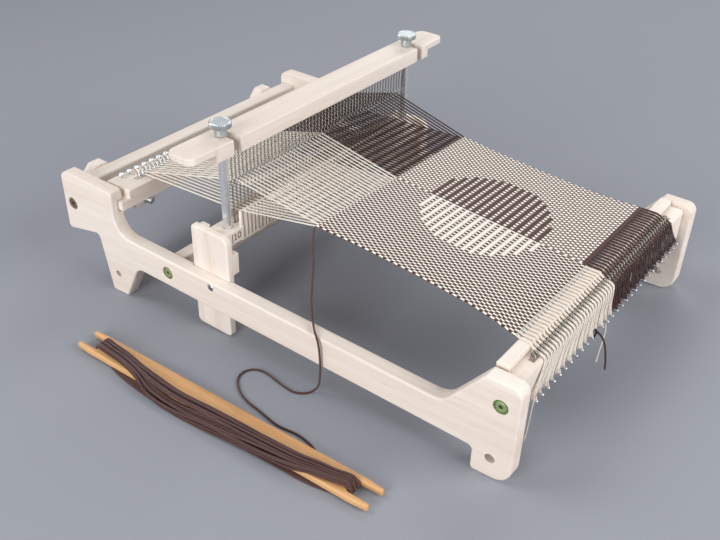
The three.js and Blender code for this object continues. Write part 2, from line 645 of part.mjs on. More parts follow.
// Heddle wires
// A flat ladder: two carriers, one wire after another between them, and an eye on each.
function wireLadder() {
  const z0 = LOWER_BAR_TOP - 3 + FIT;
  const z1 = UPPER_BAR_Z + 3 - FIT;
  const edge = HEDDLE_WIRE / 2;
  const windows = slotXs.map((x) => {
    const reach = END_PITCH / 2 - edge;
    const eye = END_PITCH / 2 - EYE_HALF;
    return alongY([[x - reach, z0 + CARRIER], [x + reach, z0 + CARRIER],
      [x + reach, EYE_Z - EYE_RISE], [x + eye, EYE_Z], [x + reach, EYE_Z + EYE_RISE],
      [x + reach, z1 - CARRIER], [x - reach, z1 - CARRIER], [x - reach, EYE_Z + EYE_RISE],
      [x - eye, EYE_Z], [x - reach, EYE_Z - EYE_RISE]], HEDDLE_Y - 1, HEDDLE_Y + 1);
  });
  const plate = block(wireXs[0] - edge, wireXs[HEDDLE_WIRES - 1] + edge, HEDDLE_Y - edge,
    HEDDLE_Y + edge, z0, z1);
  return cut(plate, windows);
}

add(loom, 'heddle_wires', wireLadder(), ZINC);

// Warp and cloth
const fellScale = FELL_HALF / lowered[lowered.length - 1];
const WARP_BACK = BACK_SPRING_Y - SPRING_RADIUS - 1;
const WARP_BACK_Z = TENSION_TOP + 1.2;
const backScale = 1 + (1 - fellScale) * (WARP_BACK - HEDDLE_Y) / (HEDDLE_Y - FELL_Y);

// A sheet of threads, joined like a comb by a cross thread at the end where they narrow.
function warpSheet(xs, tie, tips) {
  const inward = Math.sign(tips.y - tie.y);
  const bar = tie.y + inward * 1.2;
  const edge = THREAD / 2;
  const widthAt = (y) => tie.scale + (tips.scale - tie.scale) * (y - tie.y) / (tips.y - tie.y);
  const last = xs[xs.length - 1];
  const corners = [[last * tie.scale + edge, tie.y], [xs[0] * tie.scale - edge, tie.y]];
  xs.forEach((x) => {
    corners.push([x * widthAt(bar) - edge, bar], [x * tips.scale - edge, tips.y]);
    corners.push([x * tips.scale + edge, tips.y], [x * widthAt(bar) + edge, bar]);
  });
  const sheet = alongZ(corners.filter((_, index) => index !== 2 && index !== corners.length - 1),
    -edge, edge);
  const spots = sheet.getAttribute('position');
  for (let index = 0; index < spots.count; index += 1) {
    const share = (spots.getY(index) - tie.y) / (tips.y - tie.y);
    spots.setZ(index, spots.getZ(index) + tie.z + (tips.z - tie.z) * share);
  }
  return sheet;
}

const fellUpper = { y: FELL_Y + 0.6, z: FELL_Z + 0.8, scale: fellScale };
const fellLower = { y: FELL_Y + 0.6, z: FELL_Z - 0.8, scale: fellScale };
const backUpper = { y: WARP_BACK, z: WARP_BACK_Z + 1, scale: backScale };
const backLower = { y: WARP_BACK, z: WARP_BACK_Z - 0.6, scale: backScale };
const eyeFront = { y: HEDDLE_Y - HEDDLE_WIRE / 2 - FIT, z: EYE_Z, scale: 1 };
const eyeBack = { y: HEDDLE_Y + HEDDLE_WIRE / 2 + FIT, z: EYE_Z, scale: 1 };
add(loom, 'warp_upper_front', warpSheet(raised, fellUpper, eyeFront), CREAM);
add(loom, 'warp_upper_back', warpSheet(raised, backUpper, eyeBack), CREAM);
add(loom, 'warp_lower', warpSheet(lowered, fellLower, backLower), CREAM);

const slab = CLOTH_THICKNESS / 2;
function clothSlab() {
  const rows = [[CLOTH_FRONT, CLOTH_HALF], [CLOTH_FRONT + 14, CLOTH_WAIST + 3],
    [CLOTH_FRONT + 34, CLOTH_WAIST + 0.5], [CLOTH_FRONT + 68, CLOTH_WAIST],
    [FELL_Y, FELL_HALF + 0.5]];
  const outline = [...rows.map(([y, half]) => [half, y]),
    ...[...rows].reverse().map(([y, half]) => [-half, y])];
  const sheet = alongZ(outline, -slab, slab);
  const spots = sheet.getAttribute('position');
  for (let index = 0; index < spots.count; index += 1) {
    const share = (spots.getY(index) - CLOTH_FRONT) / (FELL_Y - CLOTH_FRONT);
    spots.setZ(index, spots.getZ(index) + CLOTH_Z + (FELL_Z - CLOTH_Z) * share);
  }
  return sheet;
}

add(loom, 'cloth', clothSlab(), CLOTH);

// The ends leave the cloth in front, pass over the stick and the spring, and drop to the pins.
function frontWarp() {
  const z = CLOTH_Z;
  const overSpring = BEAM_TOP + SPRING_DROP + SPRING_RADIUS + THREAD / 2 + FIT;
  const path = [[CLOTH_FRONT - 2 * FIT - THREAD / 2, z], [FRONT_SPRING_Y, overSpring],
    [FRONT_SPRING_Y - SPRING_RADIUS - 0.5, overSpring - 1.2], [BEAM_FRONT - 1.2, BEAM_TOP - 1.2],
    [1.6, PIN_Z + 2.4]];
  const pieces = [block(-CLOTH_HALF, CLOTH_HALF, CLOTH_FRONT - FIT - 1.5, CLOTH_FRONT - FIT,
    z - 0.4, z + 0.4)];
  const used = pinXs.slice(2, PIN_COUNT - 2);
  used.forEach((x) => {
    const half = THREAD / 2;
    const top = path.map(([y, height]) => [y, height + half]);
    const low = path.map(([y, height]) => [y + half, height - half]).reverse();
    pieces.push(alongX([...top, ...low], x - half, x + half));
  });
  return join(pieces);
}

add(loom, 'warp_front', frontWarp(), CREAM);

// Shuttle and its yarn
const shuttle = new THREE.Group();
shuttle.name = 'shuttle_group';
loom.add(shuttle);
const shuttleBack = SHUTTLE_FRONT + SHUTTLE_LENGTH;
const windingClear = WINDING_YARN / 2 + FIT;
const shuttleLow = windingClear + WINDING_YARN / 2 + 0.1;
const half = SHUTTLE_WIDTH / 2;
const slot = FORK_WIDTH / 2;
const shuttleShape = [
  [SHUTTLE_X - half, SHUTTLE_FRONT, 2.4], [SHUTTLE_X - slot, SHUTTLE_FRONT, 1.2],
  [SHUTTLE_X - slot, SHUTTLE_FRONT + FORK_DEPTH, 1.5],
  [SHUTTLE_X + slot, SHUTTLE_FRONT + FORK_DEPTH, 1.5],
  [SHUTTLE_X + slot, SHUTTLE_FRONT, 1.2], [SHUTTLE_X + half, SHUTTLE_FRONT, 2.4],
  [SHUTTLE_X + half, shuttleBack, 2.4], [SHUTTLE_X + slot, shuttleBack, 1.2],
  [SHUTTLE_X + slot, shuttleBack - FORK_DEPTH, 1.5],
  [SHUTTLE_X - slot, shuttleBack - FORK_DEPTH, 1.5],
  [SHUTTLE_X - slot, shuttleBack, 1.2], [SHUTTLE_X - half, shuttleBack, 2.4],
];

// The yarn runs along the top, round one fork, back underneath, and round the other fork.
function windingPoints() {
  const points = [];
  const clear = windingClear;
  const top = shuttleLow + SHUTTLE_THICKNESS + clear;
  const low = shuttleLow - clear;
  const front = SHUTTLE_FRONT + FORK_DEPTH;
  const back = shuttleBack - FORK_DEPTH;
  const narrow = (FORK_WIDTH - WINDING_YARN) / 2 - 0.3;
  const wide = half - 1.2;
  const run = [0, 0.04, 0.12, 0.3, 0.5, 0.7, 0.88, 0.96, 1];
  for (let loop = 0; loop < WINDING_LOOPS; loop += 1) {
    const place = (loop + 0.5) / WINDING_LOOPS * 2 - 1;
    const step = 1 / WINDING_LOOPS;
    const spreadAt = (t, shift) => {
      const ease = Math.min(1, 6 * Math.min(t, 1 - t));
      return SHUTTLE_X + (place + shift) * (narrow + (wide - narrow) * ease);
    };
    run.forEach((t) => points.push(new THREE.Vector3(
      spreadAt(t, step * (t - 0.5)), front + t * (back - front), top)));
    const middle = (top + low) / 2;
    points.push(new THREE.Vector3(SHUTTLE_X + (place + step / 2) * narrow, back + clear, top - 0.5));
    points.push(new THREE.Vector3(SHUTTLE_X + (place + step / 2) * narrow, back + clear, middle));
    points.push(new THREE.Vector3(SHUTTLE_X + (place + step / 2) * narrow, back + clear, low + 0.5));
    run.forEach((t) => points.push(new THREE.Vector3(
      spreadAt(t, step / 2), back - t * (back - front), low)));
    if (loop < WINDING_LOOPS - 1) {
      const y = front - clear;
      const x = SHUTTLE_X + (place + step) * narrow;
      points.push(new THREE.Vector3(x, y, low + 0.5), new THREE.Vector3(x, y, middle),
        new THREE.Vector3(x, y, top - 0.5));
    }
  }
  return points;
}

const winding = windingPoints();
add(shuttle, 'shuttle', alongZ(shuttleShape, shuttleLow, shuttleLow + SHUTTLE_THICKNESS),
  WARM_WOOD);
add(shuttle, 'shuttle_winding', tube(winding, WINDING_YARN / 2, 6), BROWN);

// Weft yarn
// The shuttle and the yarn lie on the floor, which falls away from the rails.
const tilt = Math.atan(FLOOR_SLOPE);
const onFloor = (x, y) => [x, y, floorUnder(y) + (YARN_RADIUS + 0.15) / Math.cos(tilt)];
const yarnRoute = [
  [-81.4, 164.4, 63.6], [-84, 163.2, 62.2], [-89.5, 159.2, 58.6], [-95.4, 154.6, 54],
  [-100.3, 149.8, 48.6], [-104.4, 146, 42], [-106.6, 143.6, 34], [-107.8, 141.8, 27.4],
  [-109.8, 139.2, 23.8], [-113.4, 135.8, 22.5], [-117, 132.4, 22.4], [-119.4, 130.6, 21.5],
  [-120.5, 129.6, 18.6], [-120.5, 129, 12], [-120.3, 128.6, 3], [-120.2, 128.8, -7], [-120, 130, -14.5],
  [-120.6, 131.8, -18.6], onFloor(-123, 133.8), onFloor(-126.4, 137), onFloor(-128.4, 141.5),
  onFloor(-128.3, 148), onFloor(-127, 156), onFloor(-125.4, 164), onFloor(-125.2, 171.5),
  onFloor(-128, 177), onFloor(-133, 179.4), onFloor(-139, 178), onFloor(-144.6, 172.4),
  onFloor(-149, 165), onFloor(-152.4, 157), onFloor(-154.6, 148), onFloor(-156, 138),
  onFloor(-157, 127), onFloor(-157.9, 116), onFloor(-158.6, 106), onFloor(-159, 98),
].map((p) => new THREE.Vector3(...p));
const yarnCurve = new THREE.CatmullRomCurve3(yarnRoute, false, 'centripetal');
add(loom, 'weft_yarn', tube(yarnCurve.getSpacedPoints(60), YARN_RADIUS, 8), BROWN);

// Stand it on the floor
// The shuttle group is drawn level from z = 0 and turned back by the loom's own tilt.
shuttle.rotation.x = -tilt;
shuttle.position.set(0, 0, -FRONT_FOOT_DROP);
loom.rotation.x = tilt;
group.updateMatrixWorld(true);
const bounds = new THREE.Box3();
loom.children.forEach((child) => {
  if (child.isMesh && child.name !== 'weft_yarn') bounds.expandByObject(child, true);
});
loom.position.set(0, -(bounds.min.y + bounds.max.y) / 2, -bounds.min.z);
group.updateMatrixWorld(true);

console.log('least gap in a spring', selfGap(frontSpring, SPRING_WIRE / 2, 6).toFixed(2));
console.log('least gap in the winding', selfGap(winding, WINDING_YARN / 2, 6).toFixed(2));
console.log('tilt', tilt.toFixed(6), 'loom at', loom.position.toArray().map((v) => v.toFixed(4)));

export default group;
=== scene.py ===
"""Sample loom: wooden table loom, wire heddle, woven sample and stick shuttle."""

import logging
import math
import random
from contextlib import contextmanager
from dataclasses import dataclass
from enum import Enum
from itertools import accumulate
from typing import Callable, Iterator, Optional, Sequence

import bmesh
import bpy
from bpy.types import Material, Mesh, Node, NodeSocket, NodeTree, Object
from mathutils import Matrix, Vector

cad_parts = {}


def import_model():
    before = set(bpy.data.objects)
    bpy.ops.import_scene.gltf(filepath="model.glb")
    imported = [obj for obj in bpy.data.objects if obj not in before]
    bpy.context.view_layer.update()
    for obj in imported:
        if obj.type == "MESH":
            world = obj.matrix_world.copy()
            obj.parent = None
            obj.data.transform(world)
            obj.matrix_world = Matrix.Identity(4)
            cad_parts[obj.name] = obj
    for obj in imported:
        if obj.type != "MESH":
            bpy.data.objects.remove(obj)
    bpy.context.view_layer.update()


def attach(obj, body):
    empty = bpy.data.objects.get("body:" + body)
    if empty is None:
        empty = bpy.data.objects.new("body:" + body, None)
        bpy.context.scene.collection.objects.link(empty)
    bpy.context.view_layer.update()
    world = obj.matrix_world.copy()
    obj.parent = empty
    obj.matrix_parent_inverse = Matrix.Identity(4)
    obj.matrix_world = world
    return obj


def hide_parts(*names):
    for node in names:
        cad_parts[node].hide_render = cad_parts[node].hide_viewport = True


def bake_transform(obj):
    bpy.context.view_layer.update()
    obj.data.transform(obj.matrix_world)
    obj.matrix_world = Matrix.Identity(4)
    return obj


LOG = logging.getLogger("sample_loom")

Pair = tuple[float, float]
Point = tuple[float, float, float]
Face = tuple[int, ...]
Finishes = dict[str, Material]

MM = 0.001
SLOPE = 0.0463
"""How much the rails rise towards the back."""
TILT = math.atan(SLOPE)
RAIL_HEIGHT = 14.85
"""Height of the rails' lower edge over the floor at their front end, in millimetres."""
LOOM_SHIFT = Vector((0.0, -180.9704, 14.8341))
"""Where the rails' own origin lies in the frame, in millimetres."""
RAIL = Matrix.Scale(MM, 4) @ Matrix.Translation(LOOM_SHIFT) @ Matrix.Rotation(TILT, 4, "X")
"""Matrix from the rails' own millimetres to the frame's metres."""
PIN_PITCH = 20 / 3
WIRE_PITCH = 10 / 3
BOLT_X, BOLT_Z, BOLT_BORE = 86.5, 33.5, 2.8
"""Where the tension bolts run, and the radius of the bores that they run through."""
HEDDLE_Y, EYE_Z = 223.5, 78.0
"""Where the heddle's wires stand, and the height of their eyes."""
BACK_SPRING_Y, PEG_Y = 313.0, 321.4
"""Where the back spring and the row of pegs lie."""
SIDES = (("near", False), ("far", True))


def at(x: float, y: float, z: float) -> Vector:
    """A point given in the rails' millimetres, in metres in the frame."""
    return RAIL @ Vector((x, y, z))


def floor_under(y: float) -> float:
    """Height of the floor below the rails' lower edge, in the rails' millimetres."""
    return -RAIL_HEIGHT - SLOPE * y


# Nodes and finishes


class Nodes:
    """Short way to build a shader or geometry node tree."""

    def __init__(self, tree: NodeTree) -> None:
        """Keep the tree that nodes are added to."""
        self.tree = tree

    def add(self, kind: str, inputs: Optional[dict] = None, **settings: object) -> Node:
        """Add a node, set its properties, and link or set its inputs.

        Args:
            kind: Blender's name of the node type.
            inputs: socket name or index to a value or an output socket.
            settings: properties of the node.

        Returns:
            The new node.
        """
        node = self.tree.nodes.new(kind)
        for name, value in settings.items():
            setattr(node, name, value)
        self.fill(node, inputs or {})
        return node

    def fill(self, node: Node, inputs: dict) -> None:
        """Link several inputs of a node to outputs, or give them plain values."""
        for name, value in inputs.items():
            self.put(node.inputs[name], value)

    def put(self, socket: NodeSocket, value: object) -> None:
        """Link a socket to an output, or give it a plain value."""
        if isinstance(value, NodeSocket):
            self.tree.links.new(value, socket)
        else:
            socket.default_value = value

    def math(self, operation: str, *values: object) -> NodeSocket:
        """Return the result of a Math node on the given values."""
        return self.add("ShaderNodeMath", dict(enumerate(values)), operation=operation).outputs[0]

    def squares(self, one: NodeSocket, two: NodeSocket) -> NodeSocket:
        """Return the sum of two values' squares."""
        return self.math("ADD", self.math("MULTIPLY", one, one), self.math("MULTIPLY", two, two))

    # A Mix node keeps its numbers in sockets 2 and 3 and its colours in sockets 6 and 7.

    def mix(self, share: object, low: object, high: object) -> NodeSocket:
        """Return a colour mixed from two colours by a share."""
        return self.add("ShaderNodeMix", {0: share, 6: low, 7: high}, data_type="RGBA").outputs[2]

    def between(self, share: object, low: object, high: object) -> NodeSocket:
        """Return a number mixed from two numbers by a share."""
        return self.add("ShaderNodeMix", {0: share, 2: low, 3: high}, data_type="FLOAT").outputs[0]

    def noise(
        self, scale: float, detail: float, roughness: float = 0.5, distortion: float = 0.0,
        place: Optional[NodeSocket] = None
    ) -> NodeSocket:
        """Return a noise texture's value.

        Args:
            scale: its scale.
            detail: its number of octaves.
            roughness: share of the finer octaves.
            distortion: how much it is bent.
            place: where it is read, the object's own place if not given.
        """
        if place is None:
            place = self.add("ShaderNodeTexCoord").outputs["Object"]
        return self.add("ShaderNodeTexNoise", {
            "Vector": place, "Scale": scale, "Detail": detail, "Roughness": roughness,
            "Distortion": distortion}).outputs[0]

    def relief(self, strength: float, distance: float, height: NodeSocket) -> NodeSocket:
        """Return a normal that follows a height."""
        return self.add("ShaderNodeBump", {
            "Strength": strength, "Distance": distance, "Height": height}).outputs[0]

    def uv(self, name: str) -> tuple[NodeSocket, NodeSocket]:
        """Return the two values of a map."""
        split = self.add(
            "ShaderNodeSeparateXYZ", {0: self.add("ShaderNodeUVMap", uv_map=name).outputs[0]})
        return split.outputs[0], split.outputs[1]

    def ramp(self, share: object, *stops: tuple[float, object]) -> NodeSocket:
        """Return a colour ramp's colour.

        Args:
            share: the value that the ramp reads.
            stops: pairs of position and colour or grey level.
        """
        node = self.add("ShaderNodeValToRGB")
        self.put(node.inputs[0], share)
        band = node.color_ramp
        while len(band.elements) < len(stops):
            band.elements.new(0.5)
        for element, (place, colour) in zip(band.elements, stops):
            element.position = place
            element.color = colour if not isinstance(colour, float) else (colour,) * 3 + (1,)
        return node.outputs[0]

    def xyz(self, **parts: object) -> NodeSocket:
        """Return a vector from its parts X, Y and Z."""
        return self.add("ShaderNodeCombineXYZ", parts).outputs[0]

    def line(self, count: object, start: NodeSocket, step: NodeSocket) -> NodeSocket:
        """Return a row of points from a start, with a step between them."""
        return self.add("GeometryNodeMeshLine", {
            "Count": count, "Start Location": start, "Offset": step}, mode="OFFSET").outputs[0]

    def moved(self, shape: NodeSocket, **how: object) -> NodeSocket:
        """Return a shape with a Translation, a Rotation or a Scale."""
        return self.add("GeometryNodeTransform", {"Geometry": shape, **how}).outputs[0]

    def joined(self, *shapes: NodeSocket) -> NodeSocket:
        """Return several shapes as one."""
        both = self.add("GeometryNodeJoinGeometry")
        for shape in shapes:
            self.put(both.inputs[0], shape)
        return both.outputs[0]

    def wire(self, curve: NodeSocket, radius: NodeSocket, sides: int) -> NodeSocket:
        """Return a curve as a closed round wire."""
        section = self.add(
            "GeometryNodeCurvePrimitiveCircle", {"Resolution": sides, "Radius": radius}).outputs[0]
        return self.add("GeometryNodeCurveToMesh", {
            "Curve": curve, "Profile Curve": section, "Fill Caps": True}).outputs[0]


def rgba(colour: Point, share: float = 1.0) -> tuple[float, ...]:
    """A linear colour from the display values of its channels, dimmed to a share."""
    def linear(value: float) -> float:
        return value / 12.92 if value <= 0.04045 else ((value + 0.055) / 1.055) ** 2.4
    return (*(linear(value * share) for value in colour), 1.0)


def new_material(name: str) -> tuple[Material, Nodes, Node]:
    """Start a material.

    Returns:
        The material, its node helper and its main shader.
    """
    material = bpy.data.materials.new(name)
    material.use_nodes = True
    material.node_tree.nodes.clear()
    nodes = Nodes(material.node_tree)
    shader = nodes.add("ShaderNodeBsdfPrincipled")
    output = nodes.add("ShaderNodeOutputMaterial")
    material.node_tree.links.new(shader.outputs[0], output.inputs[0])
    return material, nodes, shader


class Grain(Enum):
    """Direction that the fibres of a board run in, as an axis number."""

    ACROSS = 0
    ALONG = 1
    UPRIGHT = 2


@dataclass(frozen=True)
class WoodFinish:
    """Sanded wood with fine fibres, soft growth bands and small pores."""

    name: str
    pale: Point
    deep: Point
    grain: Grain
    shift: float = 0.0
    roughness: float = 0.55
    pores: float = 0.2

    def build(self) -> Material:
        """Return the material."""
        material, nodes, shader = new_material(self.name)
        stretch = [1.0, 1.0, 1.0]
        stretch[self.grain.value] = 0.035
        place = nodes.add("ShaderNodeMapping", {
            "Vector": nodes.add("ShaderNodeTexCoord").outputs["Object"],
            "Location": (self.shift, self.shift * 0.7, self.shift * 1.3),
            "Scale": stretch}).outputs[0]
        bands = nodes.noise(90.0, 4.0, 0.55, 0.4, place)
        fibres = nodes.noise(950.0, 3.0, 0.6, place=place)
        broad = nodes.noise(22.0, 2.0, place=place)
        base = nodes.mix(
            nodes.ramp(bands, (0.4, 0.0), (0.7, 1.0)), rgba(self.pale), rgba(self.deep))
        base = nodes.mix(nodes.ramp(broad, (0.3, 0.0), (0.75, 0.35)), base, rgba(self.deep, 0.94))
        pores = nodes.ramp(fibres, (0.28, self.pores), (0.46, 0.0))
        height = nodes.math("MULTIPLY_ADD", fibres, 0.7, nodes.math("MULTIPLY", bands, 0.3))
        nodes.fill(shader, {
            "Base Color": nodes.mix(pores, base, rgba(self.deep, 0.72)),
            "Roughness": nodes.math("MULTIPLY_ADD", fibres, 0.16, self.roughness - 0.06),
            "Specular IOR Level": 0.35,
            "Normal": nodes.relief(0.18, 0.0003, height)})
        return material


@dataclass(frozen=True)
class MetalFinish:
    """Plated or brushed metal with faint streaks and worn spots."""

    name: str
    colour: Point
    roughness: float
    metallic: float = 1.0
    streak: float = 400.0

    def build(self) -> Material:
        """Return the material."""
        material, nodes, shader = new_material(self.name)
        cloud = nodes.noise(self.streak, 5.0, 0.6)
        nodes.fill(shader, {
            "Base Color": nodes.mix(cloud, rgba(self.colour, 0.8), rgba(self.colour)),
            "Metallic": self.metallic,
            "Roughness": nodes.math("MULTIPLY_ADD", cloud, 0.25, self.roughness - 0.1),
            "Normal": nodes.relief(0.08, 0.0002, cloud)})
        return material


@dataclass(frozen=True)
class YarnFinish:
    """Spun yarn: a twist that follows the thread, with painted shade in the grooves between its
    plies, fuzz, and a soft edge sheen.

    The twist reads the thread's own map: U round it, V along it in metres.
    """

    name: str
    colour: Point
    shade: Point
    twist: float = 420.0

    def build(self) -> Material:
        """Return the material."""
        material, nodes, shader = new_material(self.name)
        round_it, along = nodes.uv("along")
        turn = nodes.math("MULTIPLY_ADD", along, self.twist, round_it)
        wave = nodes.math("SINE", nodes.math("MULTIPLY", turn, 2 * math.pi * 2))
        lobe = nodes.math("MULTIPLY_ADD", wave, 0.5, 0.5)
        fuzz = nodes.noise(2600.0, 3.0)
        # Painted shade: the yarn's colour on the plies' crests runs to its shade colour in the
        # grooves between them.
        share = nodes.math("MULTIPLY", lobe, nodes.math("MULTIPLY_ADD", fuzz, 0.8, 0.45))
        height = nodes.math("ADD", lobe, nodes.math("MULTIPLY", fuzz, 0.6))
        nodes.fill(shader, {
            "Base Color": nodes.mix(share, rgba(self.shade), rgba(self.colour)),
            "Roughness": 0.92, "Sheen Weight": 0.25, "Specular IOR Level": 0.2,
            "Normal": nodes.relief(0.6, 0.0003, height)})
        return material


# CREAM_SHADE and BROWN_SHADE are painted shade: each yarn's colour as it looks in shadow.
CREAM = (0.975, 0.955, 0.932)
CREAM_SHADE = (0.87, 0.815, 0.745)
BROWN = (0.335, 0.218, 0.205)
BROWN_SHADE = (0.18, 0.106, 0.095)
# Painted light: the loose weft is the same brown yarn as BROWN, made lighter to make up for the
# shade it lies in.
WEFT_BROWN_LIFTED = (0.44, 0.30, 0.28)
PALE_WOOD = (0.936, 0.895, 0.86)
PALE_WOOD_DEEP = (0.882, 0.82, 0.765)


@dataclass(frozen=True)
class WeaveFinish:
    """Plain weave in two halves, with the wefts changed over inside a disc.

    U counts the ends across and V the picks along, from the sheet's own map.
    """

    name: str
    middle_end: float
    disc_end: float
    disc_pick: float
    disc_ends: float
    disc_picks: float
    header: float = 1.25
    warp_thick: float = 0.37
    weft_thick: float = 0.45
    half_long: float = 0.64
    half_dot: float = 0.5

    def build(self) -> Material:
        """Return the material."""
        material, nodes, shader = new_material(self.name)
        calc, between = nodes.math, nodes.between
        across, along = nodes.uv("count")
        end, pick = calc("FLOOR", across), calc("FLOOR", along)
        parity = calc("FLOORED_MODULO", calc("ADD", end, pick), 2.0)
        weft_over = calc("GREATER_THAN", parity, 0.5)
        dark_side = calc("GREATER_THAN", end, self.middle_end - 0.5)
        x = calc("DIVIDE", calc("SUBTRACT", end, self.disc_end), self.disc_ends)
        pair = calc("FLOOR", calc("MULTIPLY", pick, 0.5))
        y = calc("DIVIDE", calc("SUBTRACT", pair, self.disc_pick / 2), self.disc_picks / 2)
        inside = calc("LESS_THAN", nodes.squares(x, y), 1.0)
        odd_pick = calc("FLOORED_MODULO", pick, 2.0)
        # Outside the disc the weft is dark on the pale side and pale on the dark side.
        # Inside, every second pick keeps its colour right across.
        weft_dark = between(inside, calc("SUBTRACT", 1.0, dark_side), odd_pick)
        header = calc("MULTIPLY", dark_side, calc("LESS_THAN", along, self.header))
        weft_dark = calc("MAXIMUM", weft_dark, header)
        top_dark = between(weft_over, dark_side, weft_dark)
        under_dark = between(weft_over, weft_dark, dark_side)
        fuzz = nodes.noise(2200.0, 3.0)
        # The thread on top shows as an oval with painted shade towards its rim, and the one below
        # it shows darker round its ends, in painted shade.
        u_off, v_off = (calc("ABSOLUTE", calc("SUBTRACT", calc("FRACT", count), 0.5))
                        for count in (across, along))
        side = calc("DIVIDE", between(weft_over, u_off, v_off),
                    between(weft_over, self.warp_thick, self.weft_thick))
        dots = calc("MULTIPLY", dark_side, calc("SUBTRACT", 1.0, top_dark))
        ahead = calc("DIVIDE", between(weft_over, v_off, u_off),
                     between(dots, self.half_long, self.half_dot))
        oval = nodes.squares(side, ahead)
        shade = calc("MULTIPLY", nodes.ramp(oval, (0.35, 1.0), (1.0, 0.4)),
                     calc("MULTIPLY_ADD", fuzz, 0.5, 0.7))
        pale = nodes.mix(shade, rgba(CREAM_SHADE), rgba(CREAM))
        deep = nodes.mix(shade, rgba(BROWN_SHADE), rgba(BROWN))
        # Painted shade: where the thread below shows, it takes its yarn's shade colour, the cream
        # one dimmed further.
        low = nodes.mix(under_dark, rgba(CREAM_SHADE, 0.84), rgba(BROWN_SHADE))
        beyond = nodes.ramp(oval, (0.9, 0.0), (1.0, 1.0))
        nodes.fill(shader, {
            "Base Color": nodes.mix(beyond, nodes.mix(top_dark, pale, deep), low),
            "Roughness": 0.95, "Sheen Weight": 0.2, "Specular IOR Level": 0.15,
            "Normal": nodes.relief(0.5, 0.0002, fuzz)})
        return material


FINISHES = (
    WoodFinish("frame_wood", PALE_WOOD, PALE_WOOD_DEEP, Grain.ALONG),
    WoodFinish("cross_wood", PALE_WOOD, PALE_WOOD_DEEP, Grain.ACROSS, 0.31),
    WoodFinish("post_wood", PALE_WOOD, PALE_WOOD_DEEP, Grain.UPRIGHT, 0.17),
    WoodFinish("shuttle_wood", (0.85, 0.665, 0.46), (0.75, 0.55, 0.36), Grain.ALONG, 0.5,
               0.42, 0.4),
    MetalFinish("zinc_plate", (0.88, 0.90, 0.92), 0.28),
    MetalFinish("nut_plate", (0.76, 0.785, 0.79), 0.36, 0.8),
    MetalFinish("bright_rod", (0.96, 0.965, 0.975), 0.18, 0.78),
    MetalFinish("heddle_wire", (0.58, 0.56, 0.53), 0.2),
    MetalFinish("spring_wire", (0.58, 0.575, 0.54), 0.4),
    MetalFinish("sage_head", (0.65, 0.70, 0.52), 0.4, 0.4),
    MetalFinish("mauve_head", (0.52, 0.41, 0.41), 0.4, 0.4),
    MetalFinish("green_sleeve", (0.46, 0.60, 0.28), 0.45, 0.25),
    MetalFinish("olive_sleeve", (0.60, 0.575, 0.37), 0.45, 0.25),
    YarnFinish("cream_yarn", CREAM, CREAM_SHADE),
    YarnFinish("brown_yarn", BROWN, BROWN_SHADE),
    YarnFinish("weft_yarn", WEFT_BROWN_LIFTED, BROWN_SHADE),
    MetalFinish("ruler_ink", (0.30, 0.175, 0.13), 0.7, 0.0),
)
"""Every finish of the loom but the cloth's."""


# Mesh helpers


def link(mesh: Mesh, name: str) -> Object:
    """Put a mesh into the scene under a name."""
    obj = bpy.data.objects.new(name, mesh)
    bpy.context.scene.collection.objects.link(obj)
    return obj


MOST_CORNERS = 6
"""A face with more corners than this is a flat end, which keeps its own shading."""


@contextmanager
def edited(mesh: Mesh) -> Iterator[bmesh.types.BMesh]:
    """Open a mesh for changes, and write them back."""
    bm = bmesh.new()
    bm.from_mesh(mesh)
    yield bm
    bm.to_mesh(mesh)
    bm.free()


def smooth(obj: Object, angle: float) -> None:
    """Shade an object smooth, with creases and the rims of flat faces left sharp."""
    limit = math.radians(angle)
    with edited(obj.data) as bm:
        for face in bm.faces:
            face.smooth = True
        for edge in bm.edges:
            if len(edge.link_faces) == 2:
                rim = max(len(face.verts) for face in edge.link_faces) > MOST_CORNERS
                edge.smooth = not rim and edge.calc_face_angle(0.0) < limit


def applied(obj: Object) -> Object:
    """Turn an object's modifiers into plain mesh."""
    graph = bpy.context.evaluated_depsgraph_get()
    graph.update()
    mesh = bpy.data.meshes.new_from_object(obj.evaluated_get(graph))
    mesh.name = obj.name
    obj.modifiers.clear()
    old = obj.data
    obj.data = mesh
    bpy.data.meshes.remove(old)
    return obj


def from_pieces(
    name: str, verts: Sequence[Sequence[float]], faces: Sequence[Sequence[int]]
) -> Object:
    """Make an object from points in metres and faces."""
    mesh = bpy.data.meshes.new(name)
    mesh.from_pydata([tuple(v) for v in verts], [], [tuple(f) for f in faces])
    mesh.validate()
    mesh.update()
    return link(mesh, name)


def circle(sides: int) -> list[Pair]:
    """Cosine and sine of the steps of a full turn."""
    turns = [2 * math.pi * step / sides for step in range(sides)]
    return [(math.cos(turn), math.sin(turn)) for turn in turns]


